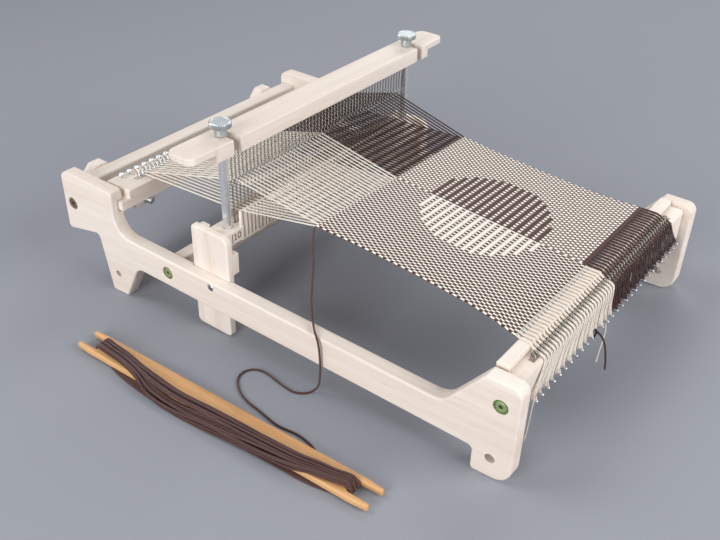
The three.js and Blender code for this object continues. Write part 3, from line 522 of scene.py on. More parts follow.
class Heap:
    """Collects points and faces of several shapes for one mesh."""

    def __init__(self) -> None:
        """Start empty."""
        self.verts: list[Sequence[float]] = []
        self.faces: list[Face] = []
        self.uvs: list[Pair] = []

    def loft(self, rings: Sequence[Sequence[Sequence[float]]], hollow: bool = False) -> None:
        """Add a closed shape through rings of equally many points.

        Args:
            rings: the rings' points.
            hollow: whether the last ring joins the first, in place of two flat ends.
        """
        start, sides = len(self.verts), len(rings[0])
        size = len(rings) * sides
        for ring in rings:
            self.verts.extend(ring)
        for base in range(0, size if hollow else size - sides, sides):
            for step in range(sides):
                a, b = base + step, base + (step + 1) % sides
                quad = (a, b, (b + sides) % size, (a + sides) % size)
                self.faces.append(tuple(start + i for i in quad))
        if not hollow:
            self.faces.append(tuple(reversed(range(start, start + sides))))
            self.faces.append(tuple(range(start + size - sides, start + size)))

    def tube(self, points: Sequence[Vector], radius: float, sides: int) -> None:
        """Add a closed round thread through points in metres, with its own map.

        Args:
            points: the line that the thread follows.
            radius: in metres.
            sides: number of sides round it.
        """
        side: Optional[Vector] = None
        along = 0.0
        rings: list[list[Vector]] = []
        for index, point in enumerate(points):
            before = points[max(index - 1, 0)]
            after = points[min(index + 1, len(points) - 1)]
            ahead = (after - before).normalized()
            if side is None:
                side = Vector((1, 0, 0)) if abs(ahead.x) < 0.8 else Vector((0, 0, 1))
            side = (side - ahead * side.dot(ahead)).normalized()
            other = ahead.cross(side)
            along += (point - before).length
            rings.append([point + side * radius * c + other * radius * s
                          for c, s in circle(sides)])
            self.uvs += [(step / sides, along) for step in range(sides)]
        self.loft(rings)

    def build(self, name: str, material: Material) -> Object:
        """Return the collected threads as one object."""
        obj = from_pieces(name, self.verts, self.faces)
        layer = obj.data.uv_layers.new(name="along")
        for loop in obj.data.loops:
            layer.data[loop.index].uv = self.uvs[loop.vertex_index]
        obj.data.materials.append(material)
        smooth(obj, 50.0)
        return obj


class GeometryTree:
    """A geometry node tree with named number inputs, run on one object."""

    def __init__(self, name: str, **sizes: float) -> None:
        """Make the tree.

        Args:
            name: the tree's name.
            sizes: named inputs and their values.
        """
        self.tree = bpy.data.node_groups.new(name, "GeometryNodeTree")
        face = self.tree.interface
        self.sockets = {}
        self.sizes = sizes
        for label, value in sizes.items():
            kind = "NodeSocketInt" if isinstance(value, int) else "NodeSocketFloat"
            self.sockets[label] = face.new_socket(label, in_out="INPUT", socket_type=kind)
        face.new_socket("Geometry", in_out="OUTPUT", socket_type="NodeSocketGeometry")
        self.nodes = Nodes(self.tree)
        self.start = self.nodes.add("NodeGroupInput")
        self.end = self.nodes.add("NodeGroupOutput")

    def __getitem__(self, label: str) -> NodeSocket:
        """Output socket of a named input."""
        return self.start.outputs[label]

    def run(
        self, name: str, shape: NodeSocket, material: Material, place: Matrix
    ) -> Object:
        """Finish the tree and return its result as a plain mesh in its place.

        Args:
            name: name of the new object.
            shape: output socket with the geometry.
            material: the finish of all of it.
            place: matrix applied to the mesh.
        """
        real = self.nodes.add("GeometryNodeRealizeInstances", {0: shape}).outputs[0]
        dressed = self.nodes.add("GeometryNodeSetMaterial", {0: real})
        dressed.inputs["Material"].default_value = material
        self.nodes.put(self.end.inputs[0], dressed.outputs[0])
        obj = link(bpy.data.meshes.new(name), name)
        modifier = obj.modifiers.new("shape", "NODES")
        modifier.node_group = self.tree
        for label, value in self.sizes.items():
            modifier[self.sockets[label].identifier] = value
        applied(obj)
        obj.data.transform(place)
        if not obj.data.materials:
            obj.data.materials.append(material)
        return obj


def settle(obj: Object, body: str, slot: str, *nodes: str) -> None:
    """Hide the nodes that a piece stands for, and attach the piece to its body."""
    if nodes:
        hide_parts(*nodes)
    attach(obj, body)
    LOG.info("%s rides on %s", obj.name, body)


# Solids drawn in the rails' millimetres


class Along(Enum):
    """Axis that an outline is drawn out along, with the axes it is drawn in."""

    X = (1, 2, 0)
    Y = (0, 2, 1)
    Z = (0, 1, 2)


def rounded(corners: Sequence[Sequence[float]], steps: int = 12) -> list[Pair]:
    """Round the corners of an outline.

    Args:
        corners: places with an optional radius each.
        steps: pieces in a quarter turn.

    Returns:
        The finished outline.
    """
    result: list[Pair] = []
    count = len(corners)
    for index, corner in enumerate(corners):
        here = Vector(corner[:2])
        radius = corner[2] if len(corner) > 2 else 0.0
        if radius <= 0:
            result.append((here.x, here.y))
            continue
        back = (Vector(corners[index - 1][:2]) - here).normalized()
        ahead = (Vector(corners[(index + 1) % count][:2]) - here).normalized()
        half = back.angle(ahead) / 2
        reach = radius / math.tan(half)
        middle = here + (back + ahead).normalized() * (radius / math.sin(half))
        first = here + back * reach - middle
        last = here + ahead * reach - middle
        sweep = first.angle(last)
        turn = 1 if first.cross(last) > 0 else -1
        pieces = max(2, round(steps * sweep / (math.pi / 2)))
        for step in range(pieces + 1):
            angle = turn * sweep * step / pieces
            spot = middle + Matrix.Rotation(angle, 2) @ first
            result.append((spot.x, spot.y))
    return result


def inset(outline: Sequence[Pair], amount: float) -> list[Pair]:
    """Move an outline inwards by an amount, corner by corner."""
    area = sum(
        a[0] * b[1] - b[0] * a[1] for a, b in zip(outline, [*outline[1:], outline[0]]))
    side = 1 if area > 0 else -1
    result = []
    count = len(outline)
    for index in range(count):
        before = Vector(outline[index - 1])
        here = Vector(outline[index])
        after = Vector(outline[(index + 1) % count])
        one = (here - before).normalized()
        two = (after - here).normalized()
        normal = Vector((-one.y - two.y, one.x + two.x)) * side
        if normal.length < 1e-6:
            normal = Vector((-one.y, one.x)) * side
        normal.normalize()
        lean = max(0.35, normal.dot(Vector((-one.y, one.x)) * side))
        moved = here + normal * (amount / lean)
        result.append((moved.x, moved.y))
    return result


def place(u: float, v: float, w: float, along: Along) -> Point:
    """A point from its two outline values and its distance along the axis."""
    spot = [0.0, 0.0, 0.0]
    for axis, value in zip(along.value, (u, v, w)):
        spot[axis] = value
    return (spot[0], spot[1], spot[2])


def solid(
    name: str, rings: Sequence[Sequence[Point]], hollow: bool = False
) -> Object:
    """A closed solid through rings of points, with its faces turned outwards."""
    heap = Heap()
    heap.loft(rings, hollow)
    obj = from_pieces(name, heap.verts, heap.faces)
    with edited(obj.data) as bm:
        bmesh.ops.recalc_face_normals(bm, faces=bm.faces)
    return obj


def extruded(
    name: str, corners: Sequence[Sequence[float]], along: Along, low: float, high: float,
    ease: float = 0.5
) -> Object:
    """An outline drawn out along an axis, with its long edges eased.

    Args:
        name: name of the object.
        corners: outline corners with an optional radius each.
        along: axis of the extrusion.
        low: where it starts.
        high: where it ends.
        ease: how much its edges are rounded off.
    """
    outline = rounded(corners)
    levels = [(0.0, low), (0.0, high)]
    if ease > 0:
        steps = 2 if ease < 0.8 else 5
        turn = [math.pi / 2 * step / steps for step in range(steps + 1)]
        rise = [(ease * (1 - math.sin(a)), ease * (1 - math.cos(a))) for a in turn]
        levels = [(amount, low + up) for amount, up in rise]
        levels += [(amount, high - up) for amount, up in reversed(rise)]
    rings = []
    for amount, level in levels:
        ring = inset(outline, amount) if amount > 1e-6 else outline
        rings.append([place(u, v, level, along) for u, v in ring])
    return solid(name, rings)


def box(
    name: str, x: Pair, y: Pair, z: Pair,
    radius: float = 0.0, ease: Optional[float] = None
) -> Object:
    """A straight block between the given limits, drawn out along X.

    Args:
        name: name of the object.
        x: its limits across the loom.
        y: its limits along the rails.
        z: its limits upwards.
        radius: of its long edges.
        ease: of its ends' edges, the same radius if not given.
    """
    corners = [(y[0], z[0], radius), (y[1], z[0], radius), (y[1], z[1], radius),
               (y[0], z[1], radius)]
    return extruded(name, corners, Along.X, x[0], x[1], radius if ease is None else ease)


def turned(
    name: str, profile: Sequence[Sequence[float]], along: Along,
    centre: Pair, sides: int = 48
) -> Object:
    """A turned solid from radii and distances along its axis.

    Args:
        name: name of the object.
        profile: radius, distance and an optional depth of knurls, from end to end.
        along: the solid's axis.
        centre: the two outline values of that axis.
        sides: number of sides.
    """
    rings = []
    for radius, distance, *knurl in profile:
        reach = (radius, radius - (knurl[0] if knurl else 0.0))
        rings.append([
            place(centre[0] + reach[step % 2] * c, centre[1] + reach[step % 2] * s, distance, along)
            for step, (c, s) in enumerate(circle(sides))])
    return solid(name, rings)


def bore(
    radius: float, low: float, high: float, along: Along, centre: Pair,
    sides: int = 32
) -> Object:
    """A plain round cutter."""
    return turned("bore", [(radius, low), (radius, high)], along, centre, sides)


def thread(
    low: float, high: float, radius: float, depth: float, pitch: float
) -> list[Pair]:
    """Profile of a thread's ridges between two levels."""
    profile: list[Pair] = []
    while low < high:
        profile += [(radius - depth, low), (radius, low + pitch / 2)]
        low += pitch
    return profile


def cut(
    obj: Object, tools: Sequence[Object]
) -> Object:
    """Take tools out of an object, and remove the tools."""
    for tool in tools:
        modifier = obj.modifiers.new("cut", "BOOLEAN")
        modifier.operation = "DIFFERENCE"
        modifier.solver = "EXACT"
        modifier.object = tool
    applied(obj)
    for tool in tools:
        drop(tool)
    return obj


def drop(obj: Object) -> None:
    """Remove an object and its mesh."""
    mesh = obj.data
    bpy.data.objects.remove(obj)
    bpy.data.meshes.remove(mesh)


def joined(name: str, parts: Sequence[Object]) -> Object:
    """Gather several objects' meshes in one object, keeping materials."""
    bm = bmesh.new()
    materials: list[Material] = []
    for part in parts:
        start = len(bm.faces)
        bm.from_mesh(part.data)
        bm.faces.ensure_lookup_table()
        slots = list(part.data.materials)
        materials += [finish for finish in slots if finish not in materials]
        if slots:
            for face in bm.faces[start:]:
                face.material_index = materials.index(slots[face.material_index])
    mesh = bpy.data.meshes.new(name)
    bm.to_mesh(mesh)
    bm.free()
    for part in parts:
        drop(part)
    for finish in materials:
        mesh.materials.append(finish)
    return link(mesh, name)


# Sub-assemblies


@dataclass
class Assembly:
    """A group of pieces, dressed with the loom's finishes."""

    finishes: Finishes

    def dress(self, obj: Object, finish: str, mirror: bool = False, angle: float = 10.0) -> Object:
        """Bring a solid from the rails' millimetres into the frame, shaded and dressed.

        Args:
            obj: the solid.
            finish: name of its finish.
            mirror: whether it goes to the far side.
            angle: edges flatter than this are shaded smooth.

        Returns:
            The solid.
        """
        obj.data.transform(RAIL @ Matrix.Scale(-1, 4, (1, 0, 0)) if mirror else RAIL)
        if mirror:
            obj.data.flip_normals()
        obj.data.materials.clear()
        obj.data.materials.append(self.finishes[finish])
        smooth(obj, angle)
        return obj


@dataclass
class SideFrames(Assembly):
    """The two side boards with feet, rails and heads, and what is screwed through them."""

    board: float = 10.0
    inner: float = 108.5
    length: float = 359.7
    rail_top: float = 20.5
    head_top: float = 52.0
    head_front: float = 307.7
    sleeve_depth: float = 5.0
    sleeve_radius: float = 4.2
    fixings: tuple[tuple[str, float, float, float], ...] = (
        ("front", 11.1, 36.0, 16.0), ("mid", 258.5, 10.2, 16.0), ("back", 350.7, 28.6, 14.0))
    post_screw: Pair = (218.9, 16.0)
    drilled: tuple[Point, ...] = ((2.5, 311.3, -13.6), (3.0, 13.2, -2.1))
    housing: Pair = (209.2, 241.6)
    groove: tuple[Pair, ...] = ((306.7, 332), (36.9, 44.5))

    @property
    def outer(self) -> float:
        """Distance of the outer faces from the middle."""
        return self.inner + self.board

    def outline(self) -> list[tuple[float, ...]]:
        """Outline of one side frame, from the side."""
        back = self.length
        return [
            (0, floor_under(0), 11), (0, self.head_top, 6), (21.3, self.head_top, 2),
            (45.5, self.rail_top, 15), (self.head_front, self.rail_top, 14),
            (self.head_front, self.head_top, 3), (back, self.head_top, 6), (back, 6, 3),
            (326.9, 13.3, 3), (319.4, floor_under(319.4), 1.5), (304.3, floor_under(304.3), 1.5),
            (289.3, 0, 10), (24.5, 0, 3), (24.5, floor_under(24.5), 2.5),
        ]

    def turned_in(
        self, name: str, profile: Sequence[Pair], y: float, z: float,
        sides: int = 40
    ) -> Object:
        """A turned solid whose distances count from the outer face inwards."""
        x0 = -self.outer
        return turned(name, [(radius, x0 + deep) for radius, deep in profile], Along.X, (y, z),
                      sides)

    def hole(self, radius: float, y: float, z: float, depth: float, flare: float) -> Object:
        """A bore from the outer face, with a small flare at its rim."""
        rim = [(radius + flare, -1), (radius, 0.4)] if flare else [(radius, -1)]
        return self.turned_in("bore", [*rim, (radius, depth)], y, z)

    def frame(self, side: str, far: bool) -> Object:
        """One side frame."""
        board = extruded(
            f"side_board_{side}", self.outline(), Along.X, -self.outer, -self.inner, 1.3)
        through, flare = 20, 1.4
        holes = [(self.sleeve_radius + 0.2, y, z, self.sleeve_depth + 0.2, flare)
                 for _, y, z, _ in self.fixings]
        holes += [(2.0, y, z, through, 0.0) for _, y, z, _ in self.fixings]
        holes += [(2.5, *self.post_screw, 2.8, flare), (1.6, *self.post_screw, through, 0.0)]
        holes += [(*drilled, through, flare) for drilled in self.drilled]
        tools = [self.hole(*hole) for hole in holes]
        beyond = -self.inner + 1
        tools += [box("housing", (-self.inner - 2.5, beyond), self.housing, (-1, 21)),
                  box("groove", (-self.inner - 5, beyond), *self.groove)]
        return self.dress(cut(board, tools), "frame_wood", far, 20)

    def sleeve(self, name: str, side: str, far: bool, y: float, z: float) -> Object:
        """The coloured cap ring round a bolt's head."""
        radius = self.sleeve_radius
        ring = self.turned_in(
            f"{name}_cap_{side}",
            [(radius - 0.5, 0), (radius - 0.12, 0.12), (radius, 0.5),
             (radius, self.sleeve_depth)], y, z, 56)
        opening = self.turned_in("bore", [(3.75, -0.3), (3.45, 0.35), (3.45, 9)], y, z, 48)
        finish = "green_sleeve" if name == "front" else "olive_sleeve"
        return self.dress(cut(ring, [opening]), finish, far, 25)

    def bolt(self, name: str, side: str, far: bool, y: float, z: float, reach: float) -> Object:
        """The bolt in a cap ring, with its hex socket."""
        end = self.board + reach
        body = self.turned_in(
            f"{name}_bolt_body_{side}",
            [(3.0, 0.25), (3.35, 0.5), (3.35, 5), (1.8, 5.1), (1.8, end - 0.6), (1.3, end)], y, z)
        socket = self.turned_in("socket", [(2.0, -0.3), (1.4, 0.45), (1.4, 4)], y, z, 6)
        finish = "mauve_head" if name == "back" else "sage_head"
        return self.dress(cut(body, [socket]), finish, far, 25)

    def small_screw(self, side: str, far: bool) -> Object:
        """The small screw that holds a heddle post, with its cross slot."""
        y, z = self.post_screw
        x = (-self.outer, -self.outer + 1.3)
        body = self.turned_in(
            f"post_screw_body_{side}",
            [(1.9, 0.3), (2.3, 0.55), (2.3, 1.4), (1.3, 2.5), (1.3, 11.2), (0.7, 11.6)], y, z)
        cut(body, [box("bar", x, (y - half_y, y + half_y), (z - half_z, z + half_z))
                   for half_y, half_z in ((1.3, 0.28), (0.28, 1.3))])
        return self.dress(body, "zinc_plate", far, 25)

    def build(self) -> None:
        """Make both sides."""
        for side, far in SIDES:
            settle(self.frame(side, far), "frame", "wood", f"side_frame_{side}")
            for name, y, z, reach in self.fixings:
                colour = "purple" if name == "back" else "green"
                settle(self.sleeve(name, side, far, y, z), "frame", colour,
                       f"{name}_sleeve_{side}")
                settle(self.bolt(name, side, far, y, z, reach), "frame", "dark_steel",
                       f"{name}_bolt_{side}")
            settle(self.small_screw(side, far), "frame", "zinc", f"post_screw_{side}")


@dataclass
class Row:
    """A row of equal small parts made by geometry nodes, spaced across the loom."""

    name: str
    count: int
    pitch: float
    place: Point

    def stand(
        self, tree: GeometryTree, shape: NodeSocket, material: Material, angle: float = 30.0
    ) -> Object:
        """Put the shape at every point of the row, which is centred on X.

        Args:
            tree: has the inputs count and pitch.
            shape: output socket with the part.
            material: its finish.
            angle: edges flatter than this are shaded smooth.

        Returns:
            The plain mesh.
        """
        nodes = tree.nodes
        span = nodes.math("MULTIPLY", nodes.math("SUBTRACT", tree["count"], 1.0), tree["pitch"])
        line = nodes.line(tree["count"], nodes.xyz(X=nodes.math("MULTIPLY", span, -0.5)),
                          nodes.xyz(X=tree["pitch"]))
        spots = nodes.add("GeometryNodeInstanceOnPoints", {"Points": line, "Instance": shape})
        obj = tree.run(
            self.name, spots.outputs[0], material, RAIL @ Matrix.Translation(self.place))
        smooth(obj, angle)
        return obj


@dataclass
class Pins(Row):
    """Nails in a beam: a shank and a domed head, standing along the given turn."""

    shank: float = 0.75
    length: float = 6.5
    head: float = 1.15
    head_height: float = 0.7
    turn: Point = (0.0, 0.0, 0.0)

    def build(self, material: Material) -> Object:
        """Return the row of nails."""
        tree = GeometryTree(
            self.name, count=self.count, pitch=self.pitch, shank=self.shank,
            length=self.length, head=self.head, head_height=self.head_height)
        nodes = tree.nodes
        shank = nodes.add("GeometryNodeMeshCylinder", {
            "Vertices": 12, "Radius": tree["shank"], "Depth": tree["length"]}).outputs[0]
        half = nodes.math("MULTIPLY", tree["length"], 0.5)
        raised = nodes.moved(shank, Translation=nodes.xyz(Z=half))
        ball = nodes.add("GeometryNodeMeshUVSphere", {
            "Segments": 14, "Rings": 8, "Radius": tree["head"]}).outputs[0]
        flat = nodes.math("DIVIDE", tree["head_height"], tree["head"])
        cap = nodes.moved(ball, Translation=nodes.xyz(Z=tree["length"]),
                          Scale=nodes.xyz(X=1.0, Y=1.0, Z=flat))
        stood = nodes.moved(nodes.joined(cap, raised), Rotation=self.turn)
        return self.stand(tree, stood, material)


@dataclass
class CoilSpring:
    """A close coil spring laid across the loom, which spaces the warp ends."""

    name: str
    y: float
    z: float
    curls: int = 54
    pitch: float = WIRE_PITCH
    radius: float = 2.25
    wire: float = 0.4

    def build(self, material: Material) -> Object:
        """Return the spring."""
        tree = GeometryTree(
            self.name, curls=float(self.curls), pitch=self.pitch, radius=self.radius,
            wire=self.wire)
        nodes = tree.nodes
        spiral = nodes.add("GeometryNodeCurveSpiral", {
            "Resolution": 20, "Rotations": tree["curls"], "Start Radius": tree["radius"],
            "End Radius": tree["radius"],
            "Height": nodes.math("MULTIPLY", tree["curls"], tree["pitch"])}).outputs[0]
        lying = nodes.moved(
            nodes.wire(spiral, tree["wire"], 8), Rotation=(0.0, math.pi / 2, 0.0))
        start = -self.curls * self.pitch / 2 - self.pitch / 4
        obj = tree.run(
            self.name, lying, material, RAIL @ Matrix.Translation((start, self.y, self.z)))
        smooth(obj, 60)
        return obj


def spring_groove(y: float, top: float, depth: float) -> Object:
    """Cutter for the groove that a spring lies in."""
    half_length, half_width = 92, 2
    return box("groove", (-half_length, half_length), (y - half_width, y + half_width),
               (top - depth, top + 1))


@dataclass
class FrontBeam(Assembly):
    """The fixed front beam with its pins, spring and loose stick."""

    half: float = 108.2
    front: float = 5.5
    depth: float = 16.0
    bottom: float = 26.0
    top: float = 49.5
    pin_z: float = 30.0
    stick_half: float = 107.2
    stick_y: float = 18.3
    stick_width: float = 8.0
    stick_depth: float = 4.0
    spring_y: float = 10.4

    def beam(self) -> Object:
        """The beam itself, grooved for the spring."""
        back = self.front + self.depth
        corners = [(self.front, self.bottom, 1), (self.front, self.top, 2.5),
                   (back, self.top, 1), (back, self.bottom, 1)]
        beam = extruded("front_beam_board", corners, Along.X, -self.half, self.half)
        return self.dress(cut(beam, [spring_groove(self.spring_y, self.top, 2.6)]), "cross_wood")

    def stick(self) -> Object:
        """The flat stick under the warp."""
        low, reach = self.top + 0.3, self.stick_width / 2
        stick = box("front_stick_bar", (-self.stick_half, self.stick_half),
                    (self.stick_y - reach, self.stick_y + reach),
                    (low, low + self.stick_depth), 1.4, 0.7)
        return self.dress(stick, "cross_wood")

    def build(self) -> None:
        """Make the beam's pieces."""
        settle(self.beam(), "frame", "wood", "front_beam")
        settle(self.stick(), "frame", "wood", "front_stick")
        pins = Pins("front_nails", 30, PIN_PITCH, (0, self.front, self.pin_z), length=4.3,
                    head=0.85, head_height=0.55, turn=(math.pi / 2, 0.0, 0.0))
        settle(pins.build(self.finishes["zinc_plate"]), "frame", "zinc", "front_pins")
        spring = CoilSpring("front_coil", self.spring_y, self.top + 1.3, radius=1.75, wire=0.36)
        settle(spring.build(self.finishes["spring_wire"]), "frame", "zinc", "front_spring")


@dataclass
class Stretchers(Assembly):
    """The fixed boards that tie the side frames together at the middle and the back."""

    half: float = 108.2
    boards: tuple[tuple[str, Pair, Pair], ...] = (
        ("back", (344.5, 356.5), (14, 43)), ("mid", (253.5, 263.5), (1.5, 18.5)))

    def build(self) -> None:
        """Make both boards, the back one bored for the tension bolts."""
        for name, y, z in self.boards:
            board = box(f"{name}_board", (-self.half, self.half), y, z, 1.5, 0.5)
            if name == "back":
                cut(board, [bore(BOLT_BORE, 340, 360, Along.Y, (x, BOLT_Z))
                            for x in (-BOLT_X, BOLT_X)])
            settle(self.dress(board, "cross_wood"), "frame", "wood", f"{name}_stretcher")


@dataclass
class HeddlePosts(Assembly):
    """The posts let into the rails, with an upper and a lower rest for the heddle."""

    outer: float = 110.7
    cheek: float = 5.2
    board: float = 10.0
    front: float = 209.5
    back: float = 240.5
    top: float = 51.5
    foot: float = 3.0
    notch_low: float = 12.0
    notch_high: float = 22.8
    ledge: float = 38.0
    rest_back: float = 233.0

    def post(self, side: str, far: bool) -> Object:
        """One post: a cheek against the rail and a board with the two rests."""
        front, back, rest, foot = self.front, self.back, self.rest_back, self.foot
        leg, heel, cheek_heel = back + 0.8, front + 8.5, front + 1.6
        low, top = floor_under(leg) + 1.6, self.top - 2
        cheek = extruded(
            "cheek",
            [(front, foot, 1.5), (front, self.top, 6), (back, self.top, 2), (leg, low, 4),
             (cheek_heel, low, 3), (cheek_heel, foot, 0.6)],
            Along.X, -self.outer, -self.outer + self.cheek, 1.0)
        rests = extruded(
            "rests",
            [(front, self.notch_high, 1), (front, self.ledge, 1), (rest, self.ledge),
             (rest, top, 1), (back, top, 2), (leg, low, 4), (heel, low, 4), (heel, foot, 2),
             (front, foot, 1.5), (front, self.notch_low, 1), (rest, self.notch_low),
             (rest, self.notch_high)],
            Along.X, -self.outer + self.cheek - 0.6, -self.outer + self.board, 0.6)
        post = joined(f"heddle_post_{side}", [cheek, rests])
        return self.dress(post, "post_wood", far, 20)

    def build(self) -> None:
        """Make both posts."""
        for side, far in SIDES:
            settle(self.post(side, far), "frame", "wood", f"post_{side}")


@dataclass
class TensionBeam(Assembly):
    """The back beam that slides in the heads and holds the warp's far ends."""

    half: float = 105.8
    tongue_half: float = 112.9
    tongue: float = 6.6
    front: float = 303.5
    depth: float = 22.5
    bottom: float = 37.3
    top: float = 50.0
    spring_y: float = BACK_SPRING_Y
    peg_y: float = PEG_Y
    lug_half: float = 9.0
    lug_reach: Pair = (7.5, 18.0)

    def beam(self) -> Object:
        """The beam with its end tongues and spring groove."""
        step = self.bottom + self.tongue
        right = [(self.tongue_half, self.bottom, 1), (self.tongue_half, step, 1),
                 (self.half, step, 0.5), (self.half, self.top, 1.5)]
        corners = right + [(-x, z, radius) for x, z, radius in reversed(right)]
        board = extruded(
            "sliding_beam", corners, Along.Y, self.front, self.front + self.depth, 0.6)
        return self.dress(cut(board, [spring_groove(self.spring_y, self.top, 1)]), "cross_wood")

    def lug(self, side: str, far: bool) -> Object:
        """A block under the beam that a tension bolt runs into."""
        top = self.bottom - 0.2
        y0, y1 = (self.front + reach for reach in self.lug_reach)
        block = box(f"bolt_lug_{side}", (-BOLT_X - self.lug_half, -BOLT_X + self.lug_half),
                    (y0, y1), (2 * BOLT_Z - top - 1, top), 1, 0.5)
        cut(block, [bore(BOLT_BORE, y0 - 2, y1 + 2, Along.Y, (-BOLT_X, BOLT_Z))])
        return self.dress(block, "cross_wood", far)

    def build(self) -> None:
        """Make the beam's pieces."""
        body = "tension_beam"
        zinc = self.finishes["zinc_plate"]
        settle(self.beam(), body, "wood", "tension_beam")
        for side, far in SIDES:
            settle(self.lug(side, far), body, "wood", f"tension_lug_{side}")
        pegs = Pins("back_nails", 30, PIN_PITCH, (0, self.peg_y, self.top), shank=0.85,
                    length=2.6, head=1.9, head_height=1.1)
        settle(pegs.build(zinc), body, "zinc", "back_pegs")
        spring = CoilSpring("back_coil", self.spring_y, self.top + 2.0)
        settle(spring.build(zinc), body, "zinc", "back_spring")


@dataclass
class TensionScrew(Assembly):
    """A long threaded bolt with an eight-sided wooden knob."""

    tip: float = 304.5
    knob_front: float = 356.8
    knob_depth: float = 8.7
    width: float = 22.0
    radius: float = 2.5
    pitch: float = 0.8

    def bolt(self, side: str, far: bool) -> Object:
        """The bolt, with ridges for its thread."""
        front = self.knob_front
        profile = [(self.radius - 0.8, self.tip)]
        profile += thread(self.tip + 0.5, front - 0.5, self.radius, 0.32, self.pitch)
        profile += [(self.radius - 0.3, front - 0.2),
                    (self.radius - 0.3, front + self.knob_depth - 3)]
        bolt = turned(f"threaded_bolt_{side}", profile, Along.Y, (-BOLT_X, BOLT_Z), 24)
        return self.dress(bolt, "zinc_plate", far, 60)

    def knob(self, side: str, far: bool) -> Object:
        """The eight-sided knob."""
        front, back = self.knob_front, self.knob_front + self.knob_depth
        flat = self.width / 2
        corner = flat * math.tan(math.pi / 8)
        half = [(-corner, flat), (-flat, corner), (-flat, -corner), (-corner, -flat)]
        corners = [(-BOLT_X + u, BOLT_Z + v, 1.8) for u, v in half + [(-u, -v) for u, v in half]]
        knob = extruded(f"wood_knob_{side}", corners, Along.Y, front, back, 0.9)
        cut(knob, [bore(BOLT_BORE, front - 1, back - 2.7, Along.Y, (-BOLT_X, BOLT_Z))])
        return self.dress(knob, "post_wood", far)

    def build(self) -> None:
        """Make both screws."""
        for side, far in SIDES:
            settle(self.bolt(side, far), f"knob_{side}", "zinc", f"tension_bolt_{side}")
            settle(self.knob(side, far), f"knob_{side}", "wood", f"tension_knob_{side}")


